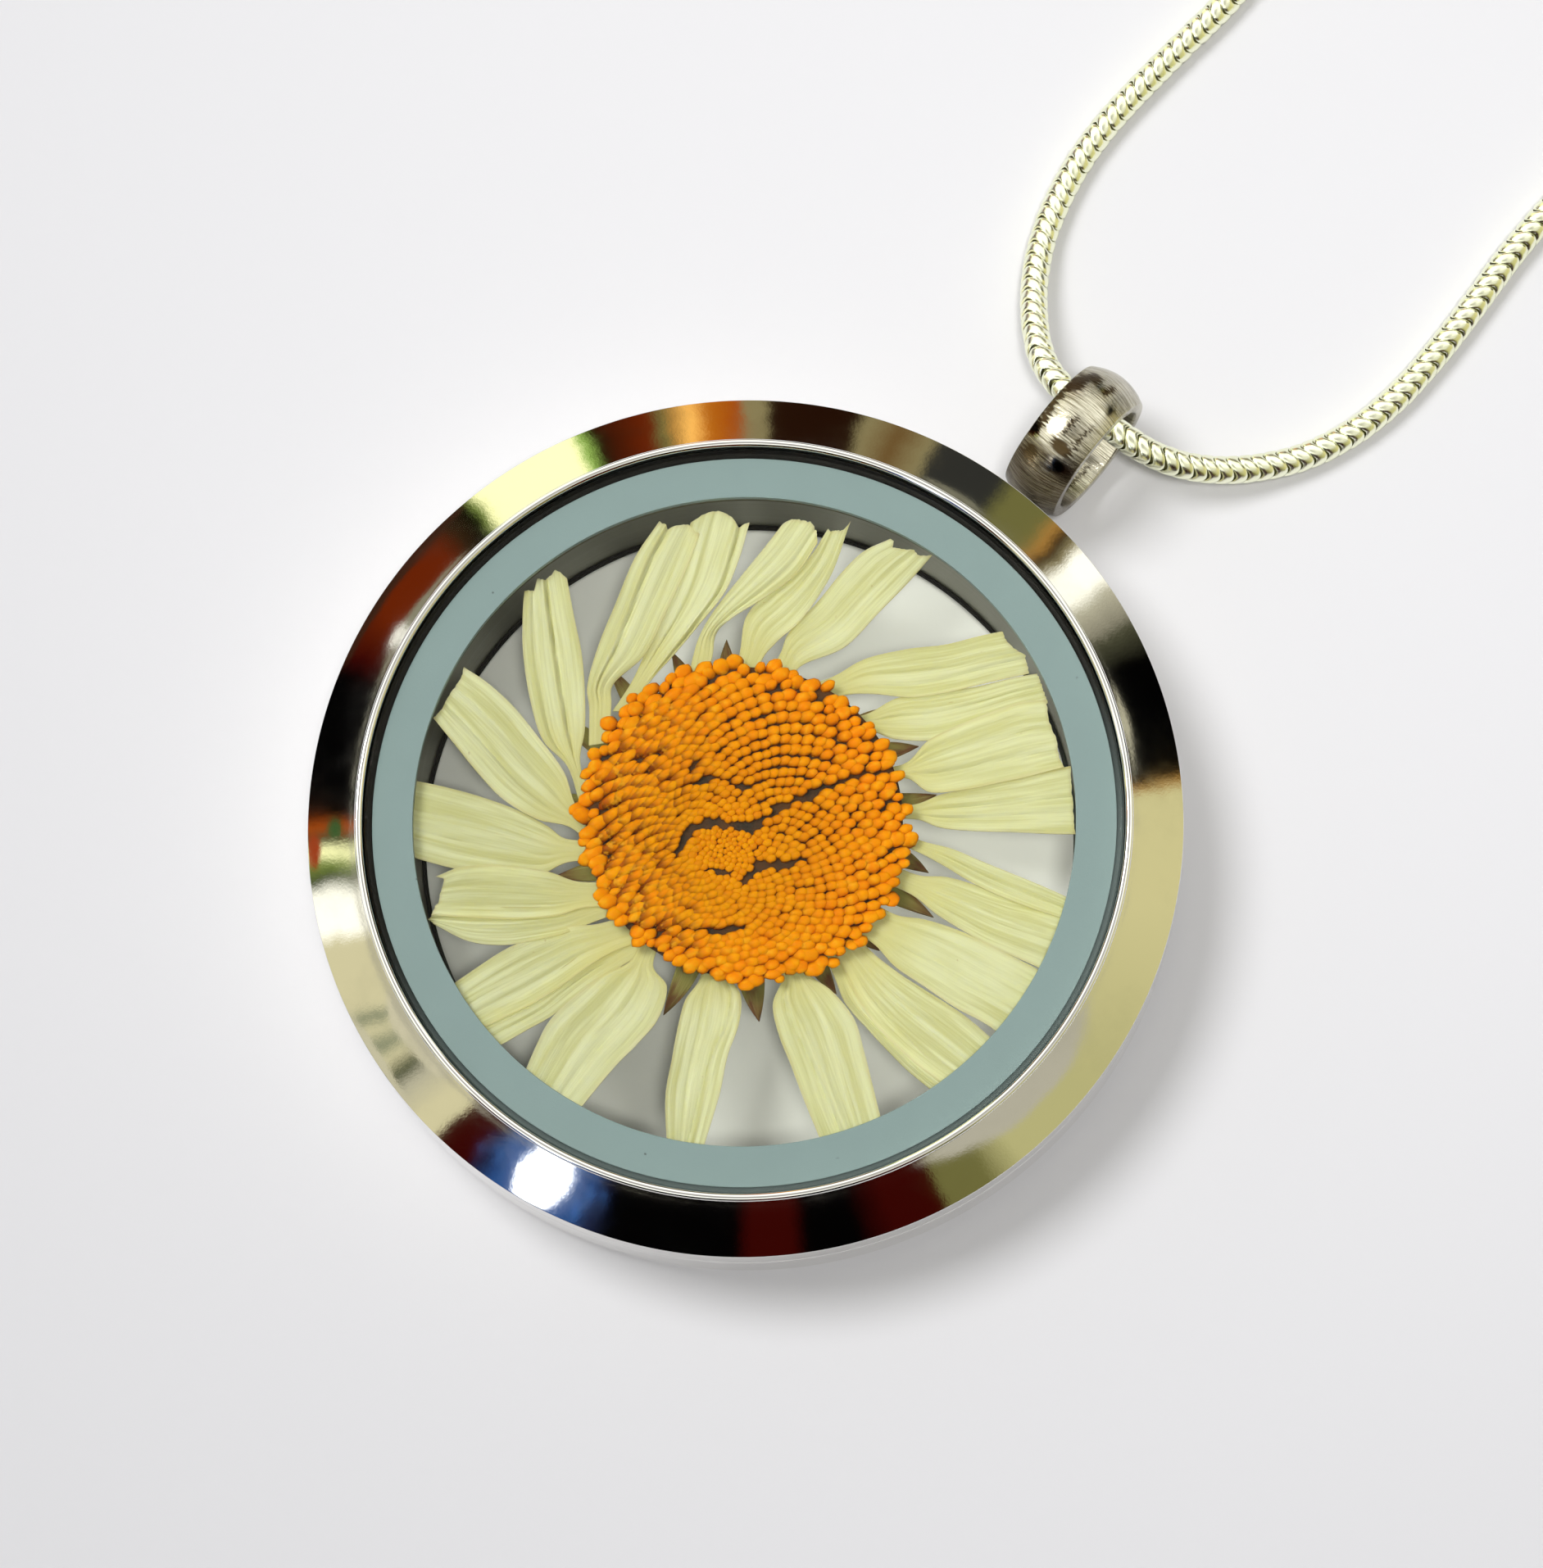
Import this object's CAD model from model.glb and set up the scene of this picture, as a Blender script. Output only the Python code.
"""Looks of a round glass locket that holds a pressed daisy, lying on a table with its snake chain."""

import logging
import math
from dataclasses import dataclass
from enum import Enum
from typing import NamedTuple, Sequence, Union

import bpy
import numpy as np
from mathutils import Matrix, Vector


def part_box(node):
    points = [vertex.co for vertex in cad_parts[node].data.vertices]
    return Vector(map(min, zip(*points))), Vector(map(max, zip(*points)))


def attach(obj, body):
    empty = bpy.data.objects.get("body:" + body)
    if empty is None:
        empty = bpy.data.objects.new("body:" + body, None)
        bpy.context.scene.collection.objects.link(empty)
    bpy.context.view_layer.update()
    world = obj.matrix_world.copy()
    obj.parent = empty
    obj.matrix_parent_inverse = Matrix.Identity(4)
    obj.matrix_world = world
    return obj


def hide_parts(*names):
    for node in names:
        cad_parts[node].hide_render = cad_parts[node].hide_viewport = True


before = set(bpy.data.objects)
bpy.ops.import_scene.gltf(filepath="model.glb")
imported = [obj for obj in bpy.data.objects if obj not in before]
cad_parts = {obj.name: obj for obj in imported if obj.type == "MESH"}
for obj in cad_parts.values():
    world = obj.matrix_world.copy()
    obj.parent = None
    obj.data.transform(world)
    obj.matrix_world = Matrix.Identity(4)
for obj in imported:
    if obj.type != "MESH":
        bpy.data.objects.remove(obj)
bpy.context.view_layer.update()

log = logging.getLogger("locket")

MM = 0.001
TAU = 2 * math.pi
GOLDEN_TURN = math.radians(137.508)

# How far the photograph's view is turned from the part's own axes, about +Z
VIEW_TURN = math.radians(39.6)


class Body(str, Enum):
    """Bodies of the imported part."""

    BACK = "locket_back"
    FRONT = "locket_front"


class Slot(str, Enum):
    """Material slots of the record."""

    STEEL = "polished_steel"
    GLASS = "clear_glass"
    MASK = "grey_mask"
    FLORET = "orange_floret"
    PETAL = "cream_petal"
    GREEN = "dry_green"
    CHAIN = "silver_chain"


class Axis(Enum):
    """Axes that pieces are turned about, as two directions across and one along."""

    Z = ((1, 0, 0), (0, 1, 0), (0, 0, 1))
    X = ((0, 1, 0), (0, 0, 1), (1, 0, 0))


Triple = tuple[float, float, float]
Value = Union["Signal", float, Sequence[float]]


class Signal:
    """A node's output that takes part in Python expressions."""

    def __init__(self, graph: "Graph", socket: bpy.types.NodeSocket) -> None:
        """Keep the socket and the graph that its expressions add nodes to."""
        self.graph = graph
        self.socket = socket

    def _math(self, operation: str, *values: Value) -> "Signal":
        """Add one Math node."""
        inputs = dict(enumerate(values))
        return self.graph.node("ShaderNodeMath", {"operation": operation}, inputs)

    def __add__(self, other: Value) -> "Signal":
        """Sum with a value."""
        return self._math("ADD", self, other)

    __radd__ = __add__

    def __sub__(self, other: Value) -> "Signal":
        """Difference from a value."""
        return self._math("SUBTRACT", self, other)

    def __rsub__(self, other: Value) -> "Signal":
        """Difference of a value and this."""
        return self._math("SUBTRACT", other, self)

    def __mul__(self, other: Value) -> "Signal":
        """Product with a value."""
        return self._math("MULTIPLY", self, other)

    __rmul__ = __mul__

    def __truediv__(self, other: Value) -> "Signal":
        """Quotient by a value."""
        return self._math("DIVIDE", self, other)

    def __pow__(self, other: Value) -> "Signal":
        """Power of a value."""
        return self._math("POWER", self, other)

    def apply(self, operation: str, *values: Value) -> "Signal":
        """Any other Math operation with this as its first value."""
        return self._math(operation, self, *values)

    def step(self, low: float, high: float) -> "Signal":
        """Smooth step from 0 at low to 1 at high.

        Args:
            low: Value below which the step is 0.
            high: Value above which the step is 1. It may be under low, for a falling step.

        Returns:
            The step.
        """
        settings = {"interpolation_type": "SMOOTHSTEP"}
        return self.graph.node("ShaderNodeMapRange", settings, {0: self, 1: low, 2: high})


class Graph:
    """The nodes of one material or of the world."""

    def __init__(self, tree: bpy.types.NodeTree) -> None:
        """Empty the tree, so that it holds only what is added here."""
        self.tree = tree
        tree.nodes.clear()

    def node(
        self,
        kind: str,
        settings: dict | None = None,
        inputs: dict | None = None,
        output: int | str = 0,
    ) -> Signal:
        """Add a node.

        Args:
            kind: The node's type.
            settings: Its properties, which are set first. "stops" holds a ramp's places and colours.
            inputs: Values or signals by the name or number of the socket.
            output: The name or number of the output to return.

        Returns:
            That output.
        """
        made = self.tree.nodes.new(kind)
        for name, value in (settings or {}).items():
            if name == "stops":
                self._set_stops(made.color_ramp, value)
            else:
                setattr(made, name, value)
        for name, value in (inputs or {}).items():
            if isinstance(value, Signal):
                self.tree.links.new(value.socket, made.inputs[name])
            else:
                made.inputs[name].default_value = value
        found = made.outputs[output] if made.outputs else None
        return Signal(self, found)

    @staticmethod
    def _set_stops(ramp: bpy.types.ColorRamp, stops: Sequence[tuple]) -> None:
        """Give a colour ramp its stops, each a place and a colour or a grey.

        Args:
            ramp: The ramp.
            stops: Its stops in order.
        """
        while len(ramp.elements) < len(stops):
            ramp.elements.new(1.0)
        for element, (place, colour) in zip(ramp.elements, stops):
            element.position = place
            element.color = rgba(colour)

    def ramp(self, factor: Signal, stops: Sequence[tuple]) -> Signal:
        """Colour ramp over a signal."""
        return self.node("ShaderNodeValToRGB", {"stops": stops}, {0: factor})

    def mix(self, factor: Value, first: Value, second: Value) -> Signal:
        """Blend of two colours by a factor."""
        inputs = {0: factor, 6: as_colour(first), 7: as_colour(second)}
        return self.node("ShaderNodeMix", {"data_type": "RGBA"}, inputs, 2)

    def layers(self, colour: Value, *over: tuple[Value, Value]) -> Signal:
        """Colour under layers, each a factor and a colour.

        Args:
            colour: The lowest colour.
            over: The layers from below.

        Returns:
            The colour.
        """
        for factor, tint in over:
            colour = self.mix(factor, colour, tint)
        return colour

    def scaled(self, colour: Value, amount: Value) -> Signal:
        """Colour or vector times a number."""
        inputs = {0: colour, "Scale": amount}
        return self.node("ShaderNodeVectorMath", {"operation": "SCALE"}, inputs)

    def vector(self, operation: str, first: Value, second: Value, output: int | str = 0) -> Signal:
        """Vector Math node on two values."""
        return self.node("ShaderNodeVectorMath", {"operation": operation}, {0: first, 1: second}, output)

    def joined(self, x: Value, y: Value, z: Value) -> Signal:
        """Vector of three numbers."""
        return self.node("ShaderNodeCombineXYZ", {}, {0: x, 1: y, 2: z})

    def split(self, vector: Signal) -> tuple[Signal, Signal, Signal]:
        """Three numbers of a vector or a colour.

        Args:
            vector: The vector or the colour.

        Returns:
            Its numbers in order.
        """
        first = self.node("ShaderNodeSeparateXYZ", {}, {0: vector})
        outputs = first.socket.node.outputs
        return tuple(Signal(self, socket) for socket in outputs)

    def place(self) -> Signal:
        """Point on the surface, in the part's own frame, in metres."""
        return self.node("ShaderNodeTexCoord", output="Object")

    def grain(self, scale: float, detail: float = 2.0, rough: float = 0.5) -> Signal:
        """Noise on the surface, with so many cells to the millimetre."""
        return self.noise(self.place(), scale / MM, detail, rough)

    def attribute(self, name: str) -> Signal:
        """Colour attribute of the mesh as a vector."""
        return self.node("ShaderNodeAttribute", {"attribute_name": name}, output="Vector")

    def noise(self, vector: Signal, scale: float, detail: float = 2.0, rough: float = 0.5) -> Signal:
        """Noise at a vector.

        Args:
            vector: Where to read it.
            scale: Cells to each unit of the vector.
            detail: Octaves.
            rough: Share that each finer octave adds.

        Returns:
            The noise, from 0 to 1.
        """
        inputs = {"Vector": vector, "Scale": scale, "Detail": detail, "Roughness": rough}
        return self.node("ShaderNodeTexNoise", {}, inputs)

    def streaks(self, x: Value, y: Value, z: Value, detail: float = 2.0, rough: float = 0.5) -> Signal:
        """Noise over three numbers."""
        return self.noise(self.joined(x, y, z), 1.0, detail, rough)

    def bump(self, height: Signal, depth: float, strength: float = 1.0) -> Signal:
        """Normal of a relief of that depth, in metres."""
        return self.node("ShaderNodeBump", {}, {"Height": height, "Distance": depth, "Strength": strength})

    def shade(self, **values: Value) -> Signal:
        """Principled shader. Names of its inputs have _ for a space.

        Args:
            values: Values of the shader's inputs.

        Returns:
            The shader.
        """
        inputs = {name.replace("_", " "): value for name, value in values.items()}
        for name, value in inputs.items():
            if name.endswith("Color") and not isinstance(value, Signal):
                inputs[name] = rgba(value)
        return self.node("ShaderNodeBsdfPrincipled", {}, inputs)

    def finish(self, surface: Signal, output: str = "ShaderNodeOutputMaterial") -> None:
        """Lead a shader to the output."""
        self.node(output, {}, {"Surface": surface})


def toned(colour: Triple, share: float) -> Triple:
    """Colour times a share."""
    return tuple(share * part for part in colour)


def rgba(colour: float | Sequence[float]) -> tuple[float, ...]:
    """Colour with alpha from a grey or from three shares of light.

    Args:
        colour: A grey, or shares of red, green and blue.

    Returns:
        Four shares, the last one full.
    """
    if isinstance(colour, (int, float)):
        return (colour, colour, colour, 1.0)
    return (*colour[:3], 1.0)


def as_colour(value: Value) -> Value:
    """Value as an input of a colour socket takes it."""
    return value if isinstance(value, Signal) else rgba(value)


@dataclass(frozen=True)
class Finish:
    """A finish: the name of its material and how its shader is made."""

    name: str

    def surface(self, graph: Graph) -> Signal:
        """Shader of this finish."""
        raise NotImplementedError

    def material(self) -> bpy.types.Material:
        """Material of this finish, made once.

        Returns:
            The material.
        """
        made = bpy.data.materials.get(self.name)
        if made is None:
            made = bpy.data.materials.new(self.name)
            made.use_nodes = True
            graph = Graph(made.node_tree)
            graph.finish(self.surface(graph))
        return made


@dataclass(frozen=True)
class MirrorSteel(Finish):
    """Steel polished to a mirror, with smudges and hair-fine scratches."""

    tint: Triple = (0.80, 0.79, 0.76)
    roughness: float = 0.045
    smudge: float = 0.05
    scratch_depth: float = 0.0006 * MM

    def surface(self, graph: Graph) -> Signal:
        """Mirror with smudged roughness and a faint relief.

        Args:
            graph: Graph of the finish.

        Returns:
            The shader.
        """
        smudges = graph.grain(0.35, 4.0, 0.6).step(0.45, 0.75)
        fine = graph.grain(9, 3.0, 0.6)
        waves = graph.grain(0.5)
        relief = graph.bump(waves * 5 + fine, self.scratch_depth)
        return graph.shade(
            Base_Color=graph.mix(smudges, self.tint, toned(self.tint, 0.94)),
            Metallic=1.0,
            Roughness=smudges * self.smudge + fine * 0.02 + self.roughness,
            Normal=relief,
        )


@dataclass(frozen=True)
class BrushedBand(Finish):
    """Steel of the bail: polished, with fine file marks across the band."""

    tint: Triple = (0.66, 0.63, 0.52)
    centre_y: float = 18.0 * MM
    centre_z: float = 2.9 * MM
    worn_tint: Triple = (0.26, 0.23, 0.15)
    stain: Triple = (0.055, 0.034, 0.012)
    mark_depth: float = 0.012 * MM
    # Where the foot's dirt starts and where it is full, in millimetres from the bail's centre
    foot: tuple[float, float] = (-1.05, -1.60)
    raggedness: float = 1.2

    # Stains in millimetres: place across the band and along the locket, and half sizes
    stains: tuple[tuple[float, float, float, float], ...] = (
        (-0.98, 0.35, 0.16, 1.35), (-0.80, 1.20, 0.30, 0.42), (-0.50, 1.72, 0.30, 0.22),
        (0.20, 1.62, 0.13, 0.30), (0.02, -0.30, 0.09, 0.42), (0.22, -1.08, 0.42, 0.22),
        (0.60, -0.60, 0.06, 0.80), (-0.60, -1.75, 0.28, 0.26), (-0.90, -0.75, 0.12, 0.55),
    )

    def surface(self, graph: Graph) -> Signal:
        """Mirror with ragged marks that run along the bail's axis, and jagged brown stains.

        Args:
            graph: Graph of the finish.

        Returns:
            The shader.
        """
        x, y, z = graph.split(graph.place())
        across = x / MM
        along = (y - self.centre_y) / MM
        turn = (z - self.centre_z).apply("ARCTAN2", y - self.centre_y)
        marks = graph.noise(graph.joined(across * 0.45, turn * 34, 0.0), 1.6, 5.0, 0.75)
        teeth = graph.streaks(across * 0.4, turn * 30, 3.0, 4.0, 0.85) - 0.5
        worn = graph.grain(0.8).step(0.32, 0.55)
        ragged = across + teeth * self.raggedness
        dirt = (along + teeth * self.raggedness).step(*self.foot) * (marks.step(0.64, 0.44) * 0.75 + 0.25)
        for middle_x, middle_y, half_x, half_y in self.stains:
            off_x = (ragged - middle_x) / half_x
            off_y = (along + teeth * 0.2 - middle_y) / half_y
            dirt = dirt.apply("MAXIMUM", (off_x * off_x + off_y * off_y).step(1.5, 0.7))
        metal = graph.mix(marks.step(0.42, 0.62), self.tint, self.worn_tint)
        return graph.shade(
            Base_Color=graph.mix(dirt * 0.97, metal, self.stain),
            Metallic=1.0,
            Roughness=worn * marks * 0.14 + 0.10,
            Normal=graph.bump(marks * worn, self.mark_depth),
        )


@dataclass(frozen=True)
class BoredSteel(Finish):
    """Plain turned steel of the chamber's wall, with fine turning marks."""

    tint: Triple = (0.13, 0.128, 0.092)
    mark_pitch: float = 0.09 * MM
    mark_depth: float = 0.003 * MM

    def surface(self, graph: Graph) -> Signal:
        """Dull metal with rings of relief.

        Args:
            graph: Graph of the finish.

        Returns:
            The shader.
        """
        x, y, z = graph.split(graph.place())
        rings = graph.streaks(x * 40, y * 40, z / self.mark_pitch)
        stains = graph.grain(0.4, 3.0)
        return graph.shade(
            Base_Color=graph.mix(stains, self.tint, toned(self.tint, 1.25)),
            Metallic=0.9,
            Roughness=rings * 0.15 + 0.30,
            Normal=graph.bump(rings, self.mark_depth),
        )


@dataclass(frozen=True)
class ClearPane(Finish):
    """Clear glass: see-through, with a mirror that grows towards the rim of sight."""

    index: float = 1.5
    mirror_share: float = 0.16
    mirror_roughness: float = 0.02
    tint: Triple = (0.99, 0.994, 0.975)
    haze: float = 0.002

    def surface(self, graph: Graph) -> Signal:
        """Transparent shader under a Fresnel share of mirror.

        Args:
            graph: Graph of the finish.

        Returns:
            The shader.
        """
        smears = graph.grain(0.22, 3.0, 0.65).step(0.5, 0.8)
        through = graph.node("ShaderNodeBsdfTransparent", {}, {"Color": rgba(self.tint)})
        shine = {"Color": rgba(1.0), "Roughness": self.mirror_roughness}
        mirror = graph.node("ShaderNodeBsdfGlossy", {}, shine)
        behind = graph.node("ShaderNodeNewGeometry", output="Backfacing")
        index = behind * (1 / self.index - self.index) + self.index
        share = graph.node("ShaderNodeFresnel", {}, {"IOR": index}) * self.mirror_share
        return graph.node(
            "ShaderNodeMixShader", {}, {0: share + smears * self.haze, 1: through, 2: mirror}
        )


@dataclass(frozen=True)
class GreyCoat(Finish):
    """Matte blue-grey coat of the mask ring, with a fine tooth and a few specks."""

    tint: Triple = (0.245, 0.33, 0.335)
    speck: Triple = (0.10, 0.13, 0.13)

    def surface(self, graph: Graph) -> Signal:
        """Matte paint, mottled, with dark and pale specks.

        Args:
            graph: Graph of the finish.

        Returns:
            The shader.
        """
        tooth = graph.grain(14)
        clouds = graph.grain(0.6, 3.0)
        coat = graph.mix(clouds * 0.6 + tooth * 0.4, self.tint, toned(self.tint, 1.14))
        specks = graph.grain(3.2, 1.0).step(0.80, 0.86)
        return graph.shade(
            Base_Color=graph.mix(specks, coat, self.speck),
            Roughness=0.55 + tooth * 0.15,
            Specular_IOR_Level=0.35,
            Normal=graph.bump(tooth, 0.004 * MM),
        )


@dataclass(frozen=True)
class BlackSeal(Finish):
    """Black glue line that seats the glass, worn to grey along one half."""

    hollow: Triple = (0.002, 0.002, 0.002)
    lump: Triple = (0.016, 0.015, 0.012)
    grey: Triple = (0.13, 0.165, 0.165)
    worn_turn: float = VIEW_TURN - math.radians(70)

    def surface(self, graph: Graph) -> Signal:
        """Dark, uneven and slightly wet.

        Args:
            graph: Graph of the finish.

        Returns:
            The shader.
        """
        lumps = graph.grain(2.5, 3.0)
        x, y, _ = graph.split(graph.place())
        radius = (x * x + y * y) ** 0.5
        facing = (x * math.cos(self.worn_turn) + y * math.sin(self.worn_turn)) / radius
        worn = facing.step(-0.1, 0.5)
        black = graph.mix(lumps, self.hollow, self.lump)
        return graph.shade(
            Base_Color=graph.mix(worn * 0.8, black, self.grey),
            Roughness=0.45 + lumps * 0.2,
            Specular_IOR_Level=0.12,
            Normal=graph.bump(lumps, 0.03 * MM),
        )


@dataclass(frozen=True)
class PetalTissue(Finish):
    """Dried cream petal: lengthwise veins, tan edges and paler ridges.

    The mesh gives the colour attribute "petal": its own random share, the place across and along.
    """

    cream: Triple = (0.88, 0.88, 0.51)
    shade: Triple = (0.62, 0.60, 0.27)
    base: Triple = (0.72, 0.66, 0.27)
    tan: Triple = (0.50, 0.37, 0.16)
    vein_count: float = 8.0
    vein_depth: float = 0.045 * MM
    thinness: float = 0.75

    def surface(self, graph: Graph) -> Signal:
        """Soft, faintly waxy tissue with veins in colour and relief.

        Args:
            graph: Graph of the finish.

        Returns:
            The shader.
        """
        share, across, along = graph.split(graph.attribute("petal"))
        veins = graph.streaks(across * self.vein_count, along * 0.9, share * 40, 3.0, 0.6)
        fibres = graph.streaks(across * 46, along * 2.6, share * 23)
        blotches = graph.streaks(across * 1.3, along * 2.4, share * 31)
        edge = ((across - 0.5) * 2).apply("ABSOLUTE")
        deep = veins.step(0.62, 0.36) * 0.80 + fibres.step(0.55, 0.35) * 0.2
        brink = edge.step(0.86, 1.0) * (0.25 + veins * 0.5) + along.step(0.965, 1.0) * veins * 0.9
        specks = graph.streaks(across * 9, along * 22, share * 17, 1.0).step(0.78, 0.84)
        body = graph.shade(
            Base_Color=graph.layers(
                self.cream,
                (deep, self.shade),
                (blotches.step(0.45, 0.75) * 0.30, self.shade),
                (share * 0.28, self.shade),
                (along.step(0.40, 0.02) * 0.75, self.base),
                (brink * 0.6 + specks * 0.5, self.tan),
            ),
            Roughness=0.62 + fibres * 0.15,
            Specular_IOR_Level=0.3,
            Subsurface_Weight=0.5,
            Subsurface_Radius=(1.0, 0.9, 0.5),
            Subsurface_Scale=0.25 * MM,
            Normal=graph.bump(veins * 0.7 + fibres * 0.3, self.vein_depth, 0.9),
        )
        passing = graph.node("ShaderNodeLightPath", output="Is Shadow Ray") * self.thinness
        clear = graph.node("ShaderNodeBsdfTransparent", {}, {"Color": rgba((1.0, 0.99, 0.94))})
        return graph.node("ShaderNodeMixShader", {}, {0: passing, 1: body, 2: clear})


@dataclass(frozen=True)
class FloretSkin(Finish):
    """Waxy orange florets, browner low down and towards the middle of the disc.

    The mesh gives the colour attribute "floret": ripeness, height in the floret and a random share.
    """

    ripe: Triple = (1.0, 0.30, 0.0)
    young: Triple = (0.78, 0.25, 0.0)
    gold: Triple = (1.0, 0.43, 0.0)
    foot: Triple = (0.17, 0.034, 0.001)
    red: Triple = (0.80, 0.15, 0.0)
    yellow: Triple = (1.0, 0.50, 0.02)

    def surface(self, graph: Graph) -> Signal:
        """Waxy skin with a pollen grain.

        Args:
            graph: Graph of the finish.

        Returns:
            The shader.
        """
        ripeness, height, share = graph.split(graph.attribute("floret"))
        grain = graph.grain(9, 3.0)
        mottles = graph.grain(4.5)
        return graph.shade(
            Base_Color=graph.layers(
                self.young,
                (ripeness, self.ripe),
                (share * 0.5, self.gold),
                (height.step(0.90, 0.22), self.foot),
                (mottles.step(0.50, 0.60) * ripeness * 0.3, self.red),
                (mottles.step(0.44, 0.34) * ripeness * 0.5, self.yellow),
                (grain.step(0.50, 0.30) * 0.35, self.young),
            ),
            Roughness=0.35 + grain * 0.15,
            Specular_IOR_Level=0.05,
            Subsurface_Weight=0.15,
            Subsurface_Radius=(1.0, 0.4, 0.1),
            Subsurface_Scale=0.12 * MM,
            Normal=graph.bump(grain, 0.02 * MM, 0.6),
        )


@dataclass(frozen=True)
class DryGreen(Finish):
    """Dried olive leaf with a brown, torn-looking end and a paler midrib.

    The mesh gives the colour attribute "leaf": a random share, the place across and along.
    """

    olive: Triple = (0.25, 0.23, 0.062)
    brown: Triple = (0.15, 0.066, 0.028)
    rib: Triple = (0.42, 0.40, 0.16)

    def surface(self, graph: Graph) -> Signal:
        """Rough leaf, mottled from olive to brown.

        Args:
            graph: Graph of the finish.

        Returns:
            The shader.
        """
        share, across, along = graph.split(graph.attribute("leaf"))
        ribs = graph.streaks(across * 12, along * 2, share * 19, 3.0)
        patches = graph.streaks(across * 2, along * 3, share * 37, 3.0)
        dry = along.step(0.45, 0.95) * 0.8 + patches.step(0.42, 0.75) * 0.7
        return graph.shade(
            Base_Color=graph.layers(
                self.olive, (dry.apply("MINIMUM", 1.0), self.brown), (ribs.step(0.5, 0.8) * 0.4, self.rib)
            ),
            Roughness=0.75,
            Specular_IOR_Level=0.2,
            Normal=graph.bump(ribs, 0.04 * MM),
        )


@dataclass(frozen=True)
class DarkGround(Finish):
    """Brown ground between the florets."""

    dark: Triple = (0.024, 0.017, 0.009)
    russet: Triple = (0.085, 0.032, 0.006)

    def surface(self, graph: Graph) -> Signal:
        """Rough and dark, with russet patches.

        Args:
            graph: Graph of the finish.

        Returns:
            The shader.
        """
        patches = graph.grain(1.4, 4.0, 0.6)
        return graph.shade(
            Base_Color=graph.mix(patches.step(0.35, 0.7), self.dark, self.russet),
            Roughness=0.85,
            Normal=graph.bump(patches, 0.08 * MM),
        )


@dataclass(frozen=True)
class ChainSilver(Finish):
    """Bright silver plate with a warm tint, duller low in its grooves."""

    tint: Triple = (0.97, 0.985, 0.76)
    patch: Triple = (0.90, 0.93, 0.66)
    roughness: float = 0.20

    def surface(self, graph: Graph) -> Signal:
        """Soft mirror with a fine grain.

        Args:
            graph: Graph of the finish.

        Returns:
            The shader.
        """
        grain = graph.grain(6)
        clouds = graph.grain(0.9)
        return graph.shade(
            Base_Color=graph.mix(clouds.step(0.4, 0.7) * 0.5, self.tint, self.patch),
            Metallic=1.0,
            Roughness=grain * 0.10 + self.roughness,
            Normal=graph.bump(grain, 0.002 * MM),
        )


@dataclass(frozen=True)
class TarnishedCore(Finish):
    """Dark metal seen in the slits between the chain's links."""

    dark: Triple = (0.07, 0.07, 0.02)
    olive: Triple = (0.20, 0.20, 0.08)

    def surface(self, graph: Graph) -> Signal:
        """Dull olive-brown metal.

        Args:
            graph: Graph of the finish.

        Returns:
            The shader.
        """
        stains = graph.grain(2)
        return graph.shade(
            Base_Color=graph.mix(stains, self.dark, self.olive),
            Metallic=0.9,
            Roughness=0.35 + stains * 0.1,
        )


@dataclass(frozen=True)
class TableSheet(Finish):
    """White, faintly lilac table that the locket lies on."""

    tint: Triple = (0.815, 0.808, 0.815)
    # Paler, faintly lit round below the window, in metres and shares of full white
    fresh_radius: float = 11.4 * MM
    fresh_edge: float = 0.4 * MM
    fresh_share: float = 1.17
    fresh_tint: Triple = (1.0, 1.0, 0.97)
    fresh_glow: float = 0.13
    glow_slope: float = 0.125 / (8 * MM)
    least_glow: float = 0.02
    fresh_turn: float = VIEW_TURN + math.radians(20)

    def surface(self, graph: Graph) -> Signal:
        """Matte white with a barely seen grain.

        Args:
            graph: Graph of the finish.

        Returns:
            The shader.
        """
        clouds = graph.grain(0.012, 3.0)
        grain = graph.grain(1.5, 3.0)
        sheet = graph.mix(clouds * 0.7 + grain * 0.3, self.tint, toned(self.tint, 1.02))
        x, y, _ = graph.split(graph.place())
        fresh = ((x * x + y * y) ** 0.5).step(self.fresh_radius + self.fresh_edge, self.fresh_radius)
        toward = x * math.cos(self.fresh_turn) + y * math.sin(self.fresh_turn)
        glow = (toward * self.glow_slope + self.fresh_glow).apply("MAXIMUM", self.least_glow)
        return graph.shade(
            Base_Color=graph.mix(fresh, sheet, toned(self.tint, self.fresh_share)),
            Emission_Color=graph.scaled(self.fresh_tint, fresh * glow),
            Emission_Strength=1.0,
            Roughness=0.6 + grain * 0.1,
            Specular_IOR_Level=0.25,
            Normal=graph.bump(grain, 0.004 * MM),
        )


STEEL = MirrorSteel("mirror_steel")
BAIL_STEEL = BrushedBand("bail_steel")
BORE_STEEL = BoredSteel("bored_steel")
FRONT_PANE = ClearPane("front_pane")
BACK_PANE = ClearPane("back_pane", haze=0.01)
MASK_COAT = GreyCoat("mask_coat")
SEAL = BlackSeal("black_seal")
TISSUE = PetalTissue("petal_tissue")
FLORETS = FloretSkin("floret_skin")
LEAF = DryGreen("dry_leaf")
GROUND = DarkGround("disc_ground")
SILVER = ChainSilver("chain_silver")
CORE = TarnishedCore("chain_core")
TABLE = TableSheet("table_sheet")


def round_way(turn: float) -> np.ndarray:
    """Level direction at an angle from +X."""
    return np.array([math.cos(turn), math.sin(turn)])


def smooth(share: np.ndarray) -> np.ndarray:
    """Smooth step of shares from 0 to 1."""
    held = np.clip(share, 0, 1)
    return held * held * (3 - 2 * held)


def eased(value: float, start: float, run: float) -> float:
    """Smooth step of a value that rises from start over a run."""
    return float(smooth(np.array((value - start) / run)))


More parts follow.
